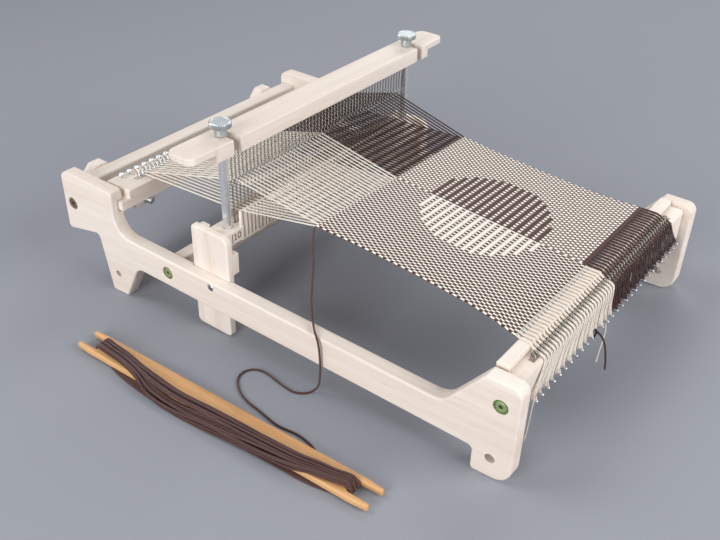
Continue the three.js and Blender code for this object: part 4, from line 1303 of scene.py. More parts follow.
@dataclass
class Heddle(Assembly):
    """The heddle: slatted lower bar, two rods, upper bar with its nuts, and the wires."""

    y: float = HEDDLE_Y
    rod_x: float = 95.0
    rod_radius: float = 3.0
    neck: float = 2.5
    lower_front: float = 216.7
    lower_back: float = 232.3
    lower_z: float = 38.3
    lower_top: float = 48.5
    lower_half: float = 105.2
    upper_z: float = 101.5
    upper_top: float = 111.7
    upper_half: float = 109.0
    tab_half: float = 129.5
    tab_height: float = 4.4
    bayonet: float = 3.5
    wires: int = 54
    pitch: float = WIRE_PITCH
    nut_height: float = 9.4
    plate: float = 2.4
    slat: float = 1.9
    head_front: float = 10.0
    head_depth: float = 21.0
    ink: float = 0.12

    @property
    def comb_half(self) -> float:
        """Half the width of the slatted plates."""
        return (self.wires - 1) * self.pitch / 2 + 1.3

    @property
    def nut_base(self) -> float:
        """Height of the thumb nuts' lower face."""
        return self.upper_top + 0.3

    def lower_bar(self) -> Object:
        """The lower bar, bored for the rods and rebated for the slatted plates."""
        front, back, low, top = self.lower_front, self.lower_back, self.lower_z, self.lower_top
        bar = box("heddle_foot", (-self.lower_half, self.lower_half), (front, back), (low, top),
                  1, 0.5)
        reach = self.comb_half + 0.03
        tools = [box("rebate", (-reach, reach), y, (low - 1, top + 1))
                 for y in ((front - 1, front + 2.6), (back - 2.6, back + 1))]
        tools.append(box("groove", (-reach + 0.6, reach - 0.6), (self.y - 0.6, self.y + 0.6),
                         (top - 3, top + 1)))
        tools += [bore(self.rod_radius + 0.2, low + 2, top + 1, Along.Z, (x, self.y), 40)
                  for x in (-self.rod_x, self.rod_x)]
        return self.dress(cut(bar, tools), "cross_wood")

    def comb(self, name: str, front: float, back: float, top: float) -> Object:
        """A slatted plate with slots open at the top, made as a row of slats on a rail.

        Args:
            name: name of the object.
            front: its front face.
            back: its back face.
            top: height of its slats' ends.
        """
        slats = Row(name, self.wires - 2, self.pitch,
                    (0, (front + back) / 2, (top + self.lower_z) / 2))
        tree = GeometryTree(name, count=slats.count, pitch=self.pitch, width=self.slat,
                            depth=back - front, height=top - self.lower_z)
        size = tree.nodes.xyz(X=tree["width"], Y=tree["depth"], Z=tree["height"])
        slat = tree.nodes.add("GeometryNodeMeshCube", {"Size": size}).outputs[0]
        parts = [slats.stand(tree, slat, self.finishes["post_wood"], 20)]
        inner = (self.wires - 1) / 2 * self.pitch - 0.83
        blocks = [((-self.comb_half, self.comb_half), (front + 0.02, back - 0.02),
                   self.lower_z + 1, 0.0)]
        for side in (-1, 1):
            for a, b, y, height in (
                (inner + 0.02, self.comb_half, front, self.lower_top),
                (inner + 0.6, inner + 1.7, front + 0.3, top),
            ):
                blocks.append((sorted((side * a, side * b)), (y, back), height, 0.2))
        parts += [self.dress(box("block", x, y, (self.lower_z, height), ease), "post_wood")
                  for x, y, height, ease in blocks]
        return joined(name, parts)

    def mark(self) -> Object:
        """The ruler mark at ten centimetres: a tick and its number, inked on the front."""
        y = (self.lower_front - self.ink / 2, self.lower_front + self.ink / 2)
        low, high = self.lower_z + 3.4, self.lower_top - 2.3
        strokes = (
            ((-98.3, -97.7), (low - 1.8, high + 0.5)), ((-95.7, -95.05), (low, high)),
            ((-96.5, -94.3), (low, low + 0.5)), ((-96.5, -95.6), (high - 0.95, high - 0.45)))
        ink = [box("stroke", x, y, z) for x, z in strokes]
        rings = [[(-91.9 + half_x * c, depth, (low + high) / 2 + half_z * s)
                  for c, s in circle(24)]
                 for half_x, half_z, depth in ((1.6, 2.3, y[0]), (1.6, 2.3, y[1]),
                                               (0.95, 1.65, y[1]), (0.95, 1.65, y[0]))]
        nought = solid("nought", rings, hollow=True)
        return self.dress(joined("ruler_mark", [*ink, nought]), "ruler_ink")

    def rod(self, side: str, far: bool) -> Object:
        """A bright steel rod with a thinner threaded neck."""
        radius, low, high = self.rod_radius, self.lower_z, self.upper_z
        nut_top = self.nut_base + self.nut_height
        profile = [(radius - 0.4, low + 2.4), (radius, low + 2.8), (radius, high - 0.7),
                   (radius - 0.4, high - 0.3), (self.neck - 0.1, high - 0.3)]
        profile += thread(high, nut_top - 3.2, self.neck, 0.3, 0.8)
        profile.append((self.neck - 0.4, nut_top - 2.5))
        rod = turned(f"bright_rod_{side}", profile, Along.Z, (-self.rod_x, self.y), 40)
        return self.dress(rod, "bright_rod", far, 30)

    def upper_bar(self) -> Object:
        """The upper bar with thin tabs at its ends and slots that hook on the rods."""
        front = self.y - self.head_front
        back = front + self.head_depth
        half, low, top = self.upper_half, self.upper_z, self.upper_top
        body = extruded("body", [(-half, front), (half, front), (half, back), (-half, back)],
                        Along.Z, low, top, 0.9)
        neck = self.neck + 0.6
        tools = []
        for x in (-self.rod_x, self.rod_x):
            hook = x + self.bayonet
            corners = [(x - neck, self.y - neck, neck * 0.9), (hook - neck, self.y - neck),
                       (hook - neck, front - 1), (hook + neck, front - 1),
                       (hook + neck, self.y + neck, neck * 0.9),
                       (x - neck, self.y + neck, neck * 0.9)]
            tools.append(extruded("slot", corners, Along.Z, low - 1, top + 1, 0))
        tools.append(box("groove", (-self.rod_x + 4, self.rod_x - 4),
                         (self.y - 0.7, self.y + 0.7), (low - 1, low + 3)))
        parts = [cut(body, tools)]
        for side in (-1, 1):
            inner, outer = side * (half - 0.8), side * self.tab_half
            corners = [(inner, front), (outer, front, 6), (outer, back, 6), (inner, back)]
            parts.append(extruded("tab", corners, Along.Z, top - self.tab_height, top, 0.6))
        return self.dress(joined("heddle_head", parts), "cross_wood")

    def nut(self, side: str, far: bool) -> Object:
        """A thumb nut: smooth collar and a head with fine straight knurls."""
        base = self.nut_base
        low, top = base + 4, base + self.nut_height
        centre = (-self.rod_x, self.y)
        collar = turned(
            "collar", [(3.4, base), (3.9, base + 0.35), (3.9, low), (3.7, low + 1.2),
                       (5.8, low + 1.5), (5.8, low + 2.1)], Along.Z, centre)
        head = turned(
            "head", [(5.6, low + 1.4), (6.6, low + 1.6, 0.45), (6.8, low + 1.9, 0.55),
                     (6.8, top - 0.8, 0.55), (6.5, top - 0.35, 0.3), (5.9, top - 0.05),
                     (5.3, top), (4.9, top - 0.25), (0.4, top - 0.25)], Along.Z, centre, 72)
        return self.dress(joined(f"knurled_nut_{side}", [collar, head]), "nut_plate", far, 24)

    def wire_row(self) -> Object:
        """Twisted pairs of wire with an eye in the middle of each."""
        steps = 95
        tree = GeometryTree(
            "twisted_wires", count=self.wires, pitch=self.pitch, low=self.lower_top - 2.4,
            high=self.upper_z + 2.6, twist=5.2, gap=0.5, wire=0.27, eye=EYE_Z,
            eye_half=1.15, eye_rise=3.2)
        nodes, calc = tree.nodes, tree.nodes.math
        step = calc("DIVIDE", calc("SUBTRACT", tree["high"], tree["low"]), float(steps))
        line = nodes.line(steps + 1, nodes.xyz(Z=tree["low"]), nodes.xyz(Z=step))
        spot = nodes.add("GeometryNodeInputPosition").outputs[0]
        z = nodes.add("ShaderNodeSeparateXYZ", {0: spot}).outputs[2]
        above = calc("SUBTRACT", z, tree["eye"])
        away = calc("DIVIDE", above, tree["eye_rise"])
        hump = calc("MAXIMUM", calc("SUBTRACT", 1.0, calc("MULTIPLY", away, away)), 0.0)
        turn = calc("MULTIPLY", calc("DIVIDE", above, tree["twist"]), 2 * math.pi)
        calm = calc("SUBTRACT", 1.0, calc("MINIMUM", calc("MULTIPLY", hump, 2.0), 1.0))
        across = calc("MULTIPLY", calc("MULTIPLY", calc("COSINE", turn), tree["gap"]), calm)
        across = calc("ADD", across, calc("MULTIPLY", hump, tree["eye_half"]))
        deep = calc("MULTIPLY", calc("SINE", turn), tree["gap"])
        strands = []
        for side in (1.0, -1.0):
            offset = nodes.xyz(X=calc("MULTIPLY", across, side), Y=calc("MULTIPLY", deep, side))
            bent = nodes.add("GeometryNodeSetPosition", {"Geometry": line, "Offset": offset})
            curve = nodes.add("GeometryNodeMeshToCurve", {"Mesh": bent.outputs[0]})
            strands.append(nodes.wire(curve.outputs[0], tree["wire"], 5))
        row = Row("twisted_wires", self.wires, self.pitch, (0, self.y, 0))
        return row.stand(tree, nodes.joined(*strands), self.finishes["heddle_wire"], 80)

    def build(self) -> None:
        """Make the heddle and everything on it."""
        settle(self.lower_bar(), "heddle", "wood", "heddle_lower_bar")
        for name, front, top in (("front", self.lower_front, 59),
                                 ("back", self.lower_back - self.plate, 56)):
            comb = self.comb(f"slats_{name}", front, front + self.plate, top)
            settle(comb, "heddle", "wood", f"comb_{name}")
        settle(self.mark(), "heddle", "wood")
        settle(self.wire_row(), "heddle", "zinc", "heddle_wires")
        settle(self.upper_bar(), "upper_bar", "wood", "heddle_upper_bar")
        for side, far in SIDES:
            settle(self.rod(side, far), "heddle", "zinc", f"heddle_rod_{side}")
            settle(self.nut(side, far), f"thumb_nut_{side}", "zinc", f"thumb_nut_{side}")


@dataclass
class Weave:
    """Counts and places shared by the cloth and the warp ends."""

    ends: int = 104
    picks: int = 55
    end_pitch: float = 10 / 6
    fell_y: float = 162.9
    fell_lean: float = -0.0295
    fell_z: float = 64.2
    fell_shift: float = 0.9
    front_y: float = 24.2
    front_z: float = 54.6
    thread: float = 0.5
    front_thread: float = 0.42
    widths: tuple[Pair, ...] = (
        (26.0, 84.2), (33.0, 82.6), (40.0, 80.8), (59.0, 78.6), (94.0, 77.6), (130.0, 78.0),
        (163.0, 79.8))

    def half_width(self, y: float) -> float:
        """Half the cloth's width at a distance from the front."""
        for (y0, w0), (y1, w1) in zip(self.widths, self.widths[1:]):
            if y <= y1:
                share = min(1.0, max(0.0, (y - y0) / (y1 - y0)))
                ease = share * share * (3 - 2 * share)
                return w0 + (w1 - w0) * ease
        return self.widths[-1][1]

    def spot(self, end: float, pick: float) -> Point:
        """Place of a point of the cloth, from its count of ends and picks."""
        share = pick / self.picks
        y = self.front_y + share * (self.fell_y - self.front_y)
        across = end / self.ends * 2 - 1
        x = across * self.half_width(y) + self.fell_shift * share
        y += self.fell_lean * x * share
        z = self.front_z + (self.fell_z - self.front_z) * (y - 26) / (self.fell_y - 26)
        return x, y, z

    def is_dark(self, end: int) -> bool:
        """Whether a warp end is brown: the right half is."""
        return end >= self.ends // 2

    def is_raised(self, end: int) -> bool:
        """Whether a warp end runs through an eye of the heddle."""
        return end % 2 == 1

    def at_heddle(self, end: int) -> float:
        """Place across the loom where an end crosses the heddle."""
        return (end - self.ends / 2) * self.end_pitch


@dataclass
class Cloth:
    """The woven part: every crossing of an end and a pick as a small cushion."""

    weave: Weave
    swell: float = 0.34
    core: float = 0.34
    per_end: int = 2
    per_pick: int = 4

    def height(self, end: float, pick: float) -> float:
        """How far the cloth's face stands off its middle."""
        hump_end = abs(math.sin(math.pi * end))
        hump_pick = abs(math.sin(math.pi * pick))
        return self.core + self.swell * (0.35 * hump_end + 0.65 * hump_pick * max(hump_end, 0.25))

    def grid(self) -> Object:
        """The closed cloth, with its map counted in ends and picks."""
        columns = self.weave.ends * self.per_end
        rows = self.weave.picks * self.per_pick
        verts: list[Point] = []
        maps: list[Pair] = []
        for side in (1, -1):
            for row in range(rows + 1):
                pick = row / self.per_pick
                for column in range(columns + 1):
                    end = column / self.per_end
                    x, y, z = self.weave.spot(end, pick)
                    if column in (0, columns):
                        loop = math.cos(math.pi * pick)
                        x += (1 if column else -1) * (0.25 + 0.35 * loop)
                    if column not in (0, columns) and row not in (0, rows):
                        z += side * self.height(end, pick)
                    verts.append((x, y, z))
                    maps.append((end, pick))
        across = columns + 1
        size = across * (rows + 1)
        faces: list[Face] = []
        for row in range(rows):
            for column in range(columns):
                a = row * across + column
                quad = (a, a + 1, a + 1 + across, a + across)
                faces += [quad, tuple(size + i for i in reversed(quad))]
        obj = from_pieces("woven_cloth", verts, faces)
        layer = obj.data.uv_layers.new(name="count")
        for polygon in obj.data.polygons:
            middle_u, middle_v = (sum(maps[i][axis] for i in polygon.vertices) / 4
                                  for axis in (0, 1))
            for loop in polygon.loop_indices:
                u, v = maps[obj.data.loops[loop].vertex_index]
                # A hair inside the cell, so that a corner never reads the next thread.
                layer.data[loop].uv = (u + (middle_u - u) * 0.01, v + (middle_v - v) * 0.01)
        with edited(obj.data) as bm:
            bmesh.ops.remove_doubles(bm, verts=bm.verts, dist=0.001)
            for face in bm.faces:
                face.smooth = True
        return obj

    def build(self) -> None:
        cloth = self.grid()
        cloth.data.transform(RAIL)
        finish = WeaveFinish(
            "two_colour_weave", middle_end=self.weave.ends / 2, disc_end=54.5, disc_pick=27.5,
            disc_ends=29.5, disc_picks=16.5)
        cloth.data.materials.append(finish.build())
        settle(cloth, "frame", "cloth", "cloth")


@dataclass
class Warp(Assembly):
    """The warp ends behind, inside and in front of the cloth."""

    weave: Weave
    lowered_z: float = 57.6
    back_y: float = 300.0
    spring_z: float = 52.2
    peg_z: float = 51.2
    pins: int = 30
    seed: int = 7

    def half_heaps(self) -> dict[bool, Heap]:
        """One heap for each yarn colour, by whether it is dark."""
        return {False: Heap(), True: Heap()}

    def merge(self, name: str, heaps: dict[bool, Heap]) -> Object:
        """Join the pale and the dark threads in one object."""
        return joined(name, [
            heap.build("threads", self.finishes["brown_yarn" if dark else "cream_yarn"])
            for dark, heap in heaps.items()])

    def follow(self, obj: Object, bodies: Sequence[str], y: Sequence[float], z: float) -> None:
        """Bake a piece of the warp into its place, and log the bodies at its start and its end."""
        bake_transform(obj)
        LOG.info("%s blends from %s to %s", obj.name, *bodies)

    def fell(self, end: int) -> Point:
        """Where an end leaves the cloth towards the heddle."""
        return self.weave.spot(end + 0.5, self.weave.picks)

    def lift(self, end: int) -> float:
        """How far an end stands off the line of the back spring."""
        return 0.5 if self.weave.is_raised(end) else -0.4

    def gap(self, end: int) -> float:
        """Place across the loom where an end passes the back spring."""
        first = (end // 2 - self.weave.ends / 4 + 0.5) * WIRE_PITCH
        return first + (0.3 if end % 2 else -0.3)

    def crossing(self, end: int) -> Point:
        """Where an end crosses the heddle's plane."""
        z = EYE_Z if self.weave.is_raised(end) else self.lowered_z
        return self.weave.at_heddle(end), HEDDLE_Y, z

    def leaving(self, end: int) -> Point:
        """The still point of an end, between the heddle and the back beam."""
        x0, y0, z0 = self.crossing(end)
        share = (self.back_y - y0) / (BACK_SPRING_Y - y0)
        x1, z1 = self.gap(end), self.spring_z + self.lift(end)
        return x0 + (x1 - x0) * share, self.back_y, z0 + (z1 - z0) * share

    def run(self, name: str, raised: bool, start: Callable, stop: Callable) -> Object:
        """Straight threads of one layer, from one set of places to another."""
        heaps = self.half_heaps()
        for end in range(int(raised), self.weave.ends, 2):
            points = [at(*start(end)), at(*stop(end))]
            heaps[self.weave.is_dark(end)].tube(points, self.weave.thread * MM, 7)
        return self.merge(name, heaps)

    def from_cloth(self, end: int) -> Point:
        """A place just inside the cloth, where the thread starts."""
        x, y, z = self.fell(end)
        return x, y - 1.2, z + (0.25 if self.weave.is_raised(end) else -0.25)

    def layers(self) -> None:
        """The ends between the cloth, the heddle and the back beam."""
        for raised, node in ((True, "upper"), (False, "lower")):
            for part, start, stop, bodies, y in (
                ("front", self.from_cloth, self.crossing, ("frame", "heddle"), (167.0, 222.0)),
                ("back", self.crossing, self.leaving, ("heddle", "frame"), (225.0, 298.0)),
            ):
                obj = self.run(f"ends_{node}_{part}", raised, start, stop)
                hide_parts(f"warp_upper_{part}" if raised else "warp_lower")
                self.follow(obj, bodies, y, 58)

    def to_beam(self) -> None:
        """The last stretch of every end, over the spring to its peg."""
        heaps = self.half_heaps()
        for end in range(self.weave.ends):
            peg = (end // 4 + 2 - (self.pins - 1) / 2) * PIN_PITCH
            side = (-1.15, -0.95, 0.95, 1.15)[end % 4]
            lift = (0.0, 0.55, 0.55, 0.0)[end % 4]
            gap, low = self.gap(end), self.peg_z - 0.1 + lift
            points = [
                self.leaving(end),
                (gap, BACK_SPRING_Y, self.spring_z + self.lift(end)),
                ((gap + 3 * (peg + side)) / 4, PEG_Y - 2.6, self.peg_z + 0.2 + lift),
                (peg + side, PEG_Y, low), (peg + side * 0.55, PEG_Y + 1.15, low),
                (peg, PEG_Y + 1.35, low),
            ]
            heaps[self.weave.is_dark(end)].tube(
                [at(*point) for point in points], self.weave.thread * MM, 6)
        obj = self.merge("ends_at_pegs", heaps)
        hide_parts("warp_upper_back", "warp_lower")
        self.follow(obj, ("frame", "tension_beam"), (301, 309), 52)

    def front(self) -> None:
        """The ends in front of the cloth, over the stick and spring and down to the pins."""
        rng = random.Random(self.seed)
        heaps = self.half_heaps()
        radius = self.weave.front_thread * MM
        for end in range(self.weave.ends):
            x_cloth, y_cloth, z_cloth = self.weave.spot(end + 0.5, 0)
            pair = end // 2 - 25.5
            offset = 0.38 if end % 2 else -0.38
            x_stick, x_spring = pair * 3.29 + offset, pair * WIRE_PITCH + offset
            number = end * self.pins // self.weave.ends
            rank = end - math.ceil(number * self.weave.ends / self.pins)
            pin = (number - (self.pins - 1) / 2) * PIN_PITCH
            spread = (rank - 1.3) * 0.95
            depth = 4.3 - 0.75 * rank
            sway = rng.uniform(-0.25, 0.25)
            # Out of the cloth, over the stick and the spring, down the beam and to the pin.
            before = [
                (x_cloth, y_cloth + 1.5, z_cloth), ((x_cloth + x_stick) / 2, 23.2, 54.45),
                (x_stick, 21.2, 54.3), (x_stick, 15.6, 54.3), (x_spring, 13.4, 53.0),
                (x_spring, 11.0, 51.6), (x_spring, 8.2, 50.9), (x_spring, 6.3, 50.15),
                (x_spring * 0.999, 5.05, 48.6),
                (x_spring * 0.8 + (pin + spread) * 0.2 + sway, 4.6, 44.5),
                (x_spring * 0.42 + (pin + spread) * 0.58 - sway, 4.4, 38),
                (pin + spread * 0.8, (4.3 + depth) / 2, 33.0), (pin + spread * 0.6, depth, 30.6),
                (pin + spread * 0.4, depth, 29.2), (pin + 0.2, depth, 28.8),
            ]
            behind = [
                (x_spring + 1.5 - offset, 5.9, 49.4), (x_spring + 1.5 - offset, 5.15, 46.5),
                ((x_spring + pin) / 2 + 1.2 + sway, 5.0, 40),
                (pin + spread * 0.6 + 0.5, 4.9, 34), (pin + spread * 0.45, 4.8, 31.4),
            ]
            for line, sides in ((before, 7), (behind, 5)):
                heaps[self.weave.is_dark(end)].tube([at(*spot) for spot in line], radius, sides)
        for dark, thick, line in self.tails():
            spots = curve_through([at(*spot) for spot in line], 3)
            heaps[dark].tube(spots, thick * MM, 8)
        settle(self.merge("ends_in_front", heaps), "frame", "cream_yarn", "warp_front")

    def tails(self) -> list[tuple[bool, float, list[Point]]]:
        """The loose tails at the pins: whether each is brown, its radius and its line."""
        return [
            (True, 0.62, [(-23.6, 3.4, 31.6), (-24.5, 0.8, 31.1), (-24.0, -1.6, 28.9),
                          (-23.2, -3.8, 24.0), (-22.8, -5.2, 18.0), (-22.5, -6.3, 11.0),
                          (-22.5, -6.7, 6.4)]),
            (True, 0.62, [(-23.2, 3.2, 31.9), (-25.0, 1.9, 30.6), (-25.3, 2.4, 28.4),
                          (-25.0, 2.6, 26.2)]),
            (False, 0.45, [(-9.8, 3.2, 30.5), (-10.0, 1.9, 25.0), (-10.4, 1.6, 20.0),
                           (-11.6, 1.6, 14.9), (-13.2, 1.8, 9.2), (-13.8, 1.8, 5.5),
                           (-14.9, 1.7, 2.5)]),
            (False, 0.45, [(-96.4, 3.0, 31.0), (-97.4, 2.6, 30.2), (-98.0, 2.8, 26.0),
                           (-98.8, 2.8, 19.0), (-99.6, 2.8, 13.0), (-100.6, 2.8, 8.0),
                           (-101.0, 2.8, 4.5)]),
        ]

    def build(self) -> None:
        """Make all warp ends outside the cloth."""
        self.layers()
        self.to_beam()
        self.front()


@dataclass
class WeftYarn(Assembly):
    """The loose weft from the corner of the cloth, over the rail, to the shuttle."""

    radius: float = 0.7
    above: tuple[Point, ...] = (
        (-79.9, 164.8, 64.2), (-84, 162.1, 62.2), (-89.5, 158.2, 58.6), (-95.4, 152.8, 54),
        (-100.3, 149.3, 48.6), (-104.4, 146.7, 42), (-106.6, 145.4, 34), (-107.8, 144.2, 27.4),
        (-109.8, 142, 23.8), (-113.4, 138.2, 22.5), (-117, 134.4, 22.4), (-119.4, 131.1, 21.5),
        (-120.5, 129, 18.6), (-120.5, 128, 12), (-120.3, 127.7, 3), (-120.2, 128.1, -7),
        (-120, 129.5, -14.5), (-120.6, 131.8, -18.6))
    floor: tuple[Pair, ...] = (
        (-123, 133.8), (-126.4, 137), (-128.4, 141.5), (-128.3, 148), (-127, 156), (-125.4, 164),
        (-125.2, 171.5), (-128, 177), (-133, 179.4), (-139, 178), (-144.6, 172.4), (-149, 165),
        (-151.6, 157), (-153, 148), (-154.6, 139.6), (-156, 132), (-155.9, 124.7),
        (-155.1, 116), (-156, 108.5), (-157.6, 102.6), (-160.4, 97))

    def loose(self) -> list[Vector]:
        """Places that the yarn passes between the cloth and the shuttle."""
        lift = (self.radius + 0.15) / math.cos(TILT)
        return [*(at(*spot) for spot in self.above),
                *(at(x, y, floor_under(y) + lift) for x, y in self.floor)]

    def build(self, shuttle: "Shuttle") -> None:
        """Args:
            shuttle: the stick that it is wound on.
        """
        line = curve_through(self.loose() + shuttle.turns(self.radius), 4)
        lowest = (self.radius + 0.02) * MM
        for spot in line:
            spot.z = max(spot.z, lowest)
        heap = Heap()
        heap.tube(line, self.radius * MM, 7)
        yarn = heap.build("weft_on_shuttle", self.finishes["weft_yarn"])
        settle(yarn, "frame", "brown_yarn", "weft_yarn", "shuttle_winding")


def curve_through(spots: Sequence[Vector], steps: int) -> list[Vector]:
    """A smooth line through places, which never loops back between two of them.

    Args:
        spots: the places.
        steps: pieces between two places.
    """
    ends = [spots[0] * 2 - spots[1], *spots, spots[-1] * 2 - spots[-2]]
    fine: list[Vector] = []
    for index in range(1, len(ends) - 2):
        p0, p1, p2, p3 = ends[index - 1:index + 3]
        t0, t1, t2, t3 = accumulate(
            (max((b - a).length, 1e-9) ** 0.5 for a, b in ((p0, p1), (p1, p2), (p2, p3))),
            initial=0.0)
        for step in range(steps):
            t = t1 + (t2 - t1) * step / steps
            a1 = (p0 * (t1 - t) + p1 * (t - t0)) / (t1 - t0)
            a2 = (p1 * (t2 - t) + p2 * (t - t1)) / (t2 - t1)
            a3 = (p2 * (t3 - t) + p3 * (t - t2)) / (t3 - t2)
            b1 = (a1 * (t2 - t) + a2 * (t - t0)) / (t2 - t0)
            b2 = (a2 * (t3 - t) + a3 * (t - t1)) / (t3 - t1)
            fine.append((b1 * (t2 - t) + b2 * (t - t1)) / (t2 - t1))
    fine.append(spots[-1].copy())
    return fine


@dataclass
class Shuttle(Assembly):
    """The stick shuttle on the floor."""

    x: float = -170.3
    front: float = 49.0
    length: float = 234.0
    width: float = 17.6
    thickness: float = 4.2
    ease: float = 1.2
    fork_depth: float = 17.0
    fork_width: float = 9.4
    low: float = 1.45
    loops: int = 22
    per_layer: int = 8
    seed: int = 21
    near: tuple[Pair, ...] = (
        (0, 3.9), (0.05, 6.0), (0.11, 8.4), (0.17, 10.9), (0.28, 12.4), (0.43, 14.0), (0.58, 16.0),
        (0.7, 15.0), (0.8, 9.6), (0.9, 5.6), (1, 3.9))
    far: tuple[Pair, ...] = (
        (0, -3.9), (0.07, -2.0), (0.22, 1.6), (0.42, 2.2), (0.63, 3.6), (0.8, 1.0),
        (0.9, -2.0), (1, -3.9))
    under: tuple[Pair, ...] = (
        (0, 3.9), (0.05, 8.2), (0.12, 10.4), (0.3, 11.4), (0.6, 14.4), (0.76, 13.4),
        (0.88, 10.2), (0.95, 6.5), (1, 3.9))
    under_far: float = -4.4

    def shift(self) -> Matrix:
        """Matrix from the shuttle's level millimetres to the frame's metres."""
        lift = RAIL_HEIGHT * math.sin(TILT) + LOOM_SHIFT.y
        return Matrix.Scale(MM, 4) @ Matrix.Translation((0, lift, 0))

    def stick(self) -> Object:
        """The flat stick with a fork at each end."""
        half, slot = self.width / 2, self.fork_width / 2
        back = self.front + self.length
        x = self.x
        corners: list[Point] = []
        for tip, inward in ((self.front, 1), (back, -1)):
            bottom = tip + inward * self.fork_depth
            fork = [(x - half, tip + inward * 11, 9), (x - half + 0.9, tip, 1.3),
                    (x - slot - 0.5, tip, 1.3), (x - slot, bottom, 3), (x + slot, bottom, 3),
                    (x + slot + 0.5, tip, 1.3), (x + half - 0.9, tip, 1.3),
                    (x + half, tip + inward * 11, 9)]
            corners += fork if inward > 0 else fork[::-1]
        stick = extruded(
            "stick_shuttle", corners, Along.Z, self.low, self.low + self.thickness, self.ease)
        stick.data.transform(self.shift())
        stick.data.materials.append(self.finishes["shuttle_wood"])
        smooth(stick, 20)
        return stick

    @staticmethod
    def along(line: Sequence[Pair], share: float) -> float:
        """Read a line of pairs of share and value, with soft bends."""
        for (s0, v0), (s1, v1) in zip(line, line[1:]):
            if share <= s1:
                part = (share - s0) / (s1 - s0)
                return v0 + (v1 - v0) * part * part * (3 - 2 * part)
        return line[-1][1]

    def rests_at(self, away: float, round_edge: float) -> float:
        """Height of a turn over the stick, which drops where it passes the near edge.

        Args:
            away: distance from the stick's middle towards the near side.
            round_edge: radius that the turn takes round that edge.
        """
        centre = self.low + self.thickness - self.ease
        past = away - (self.width / 2 - self.ease)
        if past <= 0:
            return centre + round_edge
        if past < round_edge * 0.9:
            return centre + math.sqrt(round_edge ** 2 - past ** 2)
        return max(0.75, centre + 0.4 * round_edge - (past - 0.9 * round_edge) * 0.8)

    def turns(self, yarn: float) -> list[Vector]:
        """Places of the yarn's turns, from the outermost inwards, lengthwise round both forks.

        Args:
            yarn: the yarn's radius in millimetres.
        """
        rng = random.Random(self.seed)
        front = self.front + self.fork_depth
        back = self.front + self.length - self.fork_depth
        top = self.low + self.thickness
        rise = (self.low + 0.4, (top + self.low) / 2, top - 0.4)
        under_shares = (1.0, 0.95, 0.88, 0.76, 0.6, 0.45, 0.3, 0.2, 0.12, 0.05)
        over_shares = (0.0, 0.05, 0.1, 0.17, 0.27, 0.38, 0.5, 0.62, 0.72, 0.8, 0.88, 0.95, 1.0)
        spots: list[Point] = []
        for loop in range(self.loops):
            layer = (self.loops - 1 - loop) // self.per_layer
            slot = (loop * 3 % self.per_layer + 0.5) / self.per_layer
            start_slot = min(1.0, max(0.0, slot + rng.uniform(-0.13, 0.13)))
            reach = yarn + 0.05 + layer * 1.1
            inner = (slot * 2 - 1) * (self.fork_width / 2 - yarn - 0.1)
            # Under the stick towards the front fork, up through it, and back over the top.
            for share in under_shares if loop else under_shares[-2:]:
                lane = (loop + 0.5) / self.loops
                away = self.under_far + (self.along(self.under, share) - self.under_far) * lane
                spots.append((-away, front + share * (back - front), yarn + 0.03))
            spots += [(-inner, front - reach, z) for z in rise]
            for share in over_shares:
                near, far = self.along(self.near, share), self.along(self.far, share)
                lane = slot + (start_slot - slot) * (2 * share - 1)
                lane = min(1.0, max(0.0, lane + 0.03 * math.sin(4 * math.pi * share + loop)))
                away = far + (near - far) * lane
                swell = 0.5 * math.sin(math.pi * share) * (loop % 3)
                spots.append((-away, front + share * (back - front),
                              self.rests_at(away, self.ease + reach) + swell))
            spots += [(-inner, back + reach, z) for z in reversed(rise)]
        matrix = self.shift()
        return [matrix @ Vector((self.x + x, y, z)) for x, y, z in spots]

    def build(self) -> None:
        """Make the shuttle."""
        settle(self.stick(), "frame", "warm_wood", "shuttle")


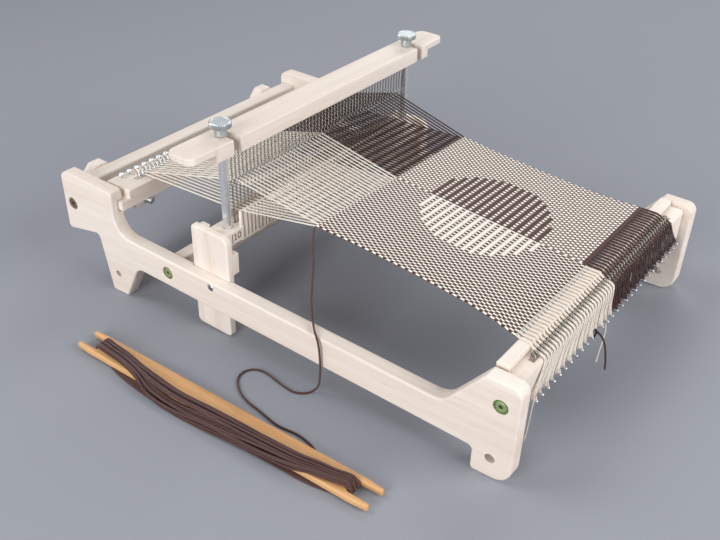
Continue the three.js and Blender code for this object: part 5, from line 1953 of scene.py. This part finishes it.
@dataclass
class Studio:
    """Camera, floor, lamps and sky."""

    place: Point = (-434.127, -133.120, 353.169)
    ahead: Point = (0.6601, 0.49075, -0.5687)
    up: Point = (0.4418, 0.3586, 0.8223)
    lens: float = 45.47
    floor_tone: Point = (0.585, 0.597, 0.63)
    goal: Point = (0.0, 0.0, 0.03)
    lamps: tuple[tuple[str, Point, float, float], ...] = (
        ("left", (-1.6, -0.1, 0.55), 1.0, 23), ("front", (0.2, -1.6, 0.8), 1.2, 27),
        ("right", (1.3, 0.3, 1.2), 1.0, 11), ("back", (-0.5, 0.9, 1.4), 0.9, 10))

    def add(self, name: str, data: bpy.types.ID, matrix: Matrix) -> Object:
        """Put a camera or a lamp into the scene."""
        obj = bpy.data.objects.new(name, data)
        obj.matrix_world = matrix
        bpy.context.scene.collection.objects.link(obj)
        return obj

    def camera(self) -> None:
        """The camera at the photograph's angle."""
        data = bpy.data.cameras.new("camera")
        data.lens = self.lens
        data.sensor_width = 36.0
        data.sensor_fit = "HORIZONTAL"
        data.clip_start, data.clip_end = 0.01, 50.0
        turn = Matrix.Rotation(TILT, 3, "X")
        back = -(turn @ Vector(self.ahead)).normalized()
        up = (turn @ Vector(self.up)).normalized()
        right = up.cross(back).normalized()
        frame_matrix = Matrix((right, back.cross(right), back)).transposed().to_4x4()
        matrix = Matrix.Translation(at(*self.place)) @ frame_matrix
        bpy.context.scene.camera = self.add("camera", data, matrix)

    def floor(self) -> None:
        """A large plain floor that runs up to the horizon."""
        half = 4.0
        obj = from_pieces(
            "floor", [(-half, -half, 0), (half, -half, 0), (half, half, 0), (-half, half, 0)],
            [(0, 1, 2, 3)])
        material, nodes, shader = new_material("studio_floor")
        nodes.fill(shader, {"Base Color": rgba(self.floor_tone), "Roughness": 0.85,
                            "Specular IOR Level": 0.15})
        obj.data.materials.append(material)

    def lamp(self, name: str, place: Point, size: float, power: float) -> None:
        """A soft square lamp that points at the goal."""
        data = bpy.data.lights.new(name, "AREA")
        data.shape = "SQUARE"
        data.size = size
        data.energy = power
        turn = (Vector(self.goal) - Vector(place)).to_track_quat("-Z", "Y")
        self.add(name, data, Matrix.Translation(place) @ turn.to_matrix().to_4x4())

    def sky(self) -> None:
        """An even pale sky."""
        world = bpy.data.worlds.new("sky")
        world.use_nodes = True
        nodes = Nodes(world.node_tree)
        glossy = nodes.add("ShaderNodeLightPath").outputs["Is Glossy Ray"]
        nodes.fill(world.node_tree.nodes["Background"], {
            "Color": rgba((0.95, 0.96, 0.98)), "Strength": nodes.between(glossy, 0.1, 1.0)})
        bpy.context.scene.world = world

    def build(self) -> None:
        """Set the scene."""
        self.camera()
        self.floor()
        for lamp in self.lamps:
            self.lamp(*lamp)
        self.sky()
        bpy.context.scene.view_settings.view_transform = "Standard"


def main() -> None:
    """Build the loom."""
    logging.basicConfig(level=logging.INFO, format="%(message)s")
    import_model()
    Studio().build()
    finishes = {finish.name: finish.build() for finish in FINISHES}
    weave = Weave()
    shuttle = Shuttle(finishes)
    shuttle.build()
    WeftYarn(finishes).build(shuttle)
    for kind in (SideFrames, FrontBeam, Stretchers, HeddlePosts, TensionBeam, TensionScrew, Heddle):
        kind(finishes).build()
    Cloth(weave).build()
    Warp(finishes, weave).build()


if __name__ == "__main__":
    main()
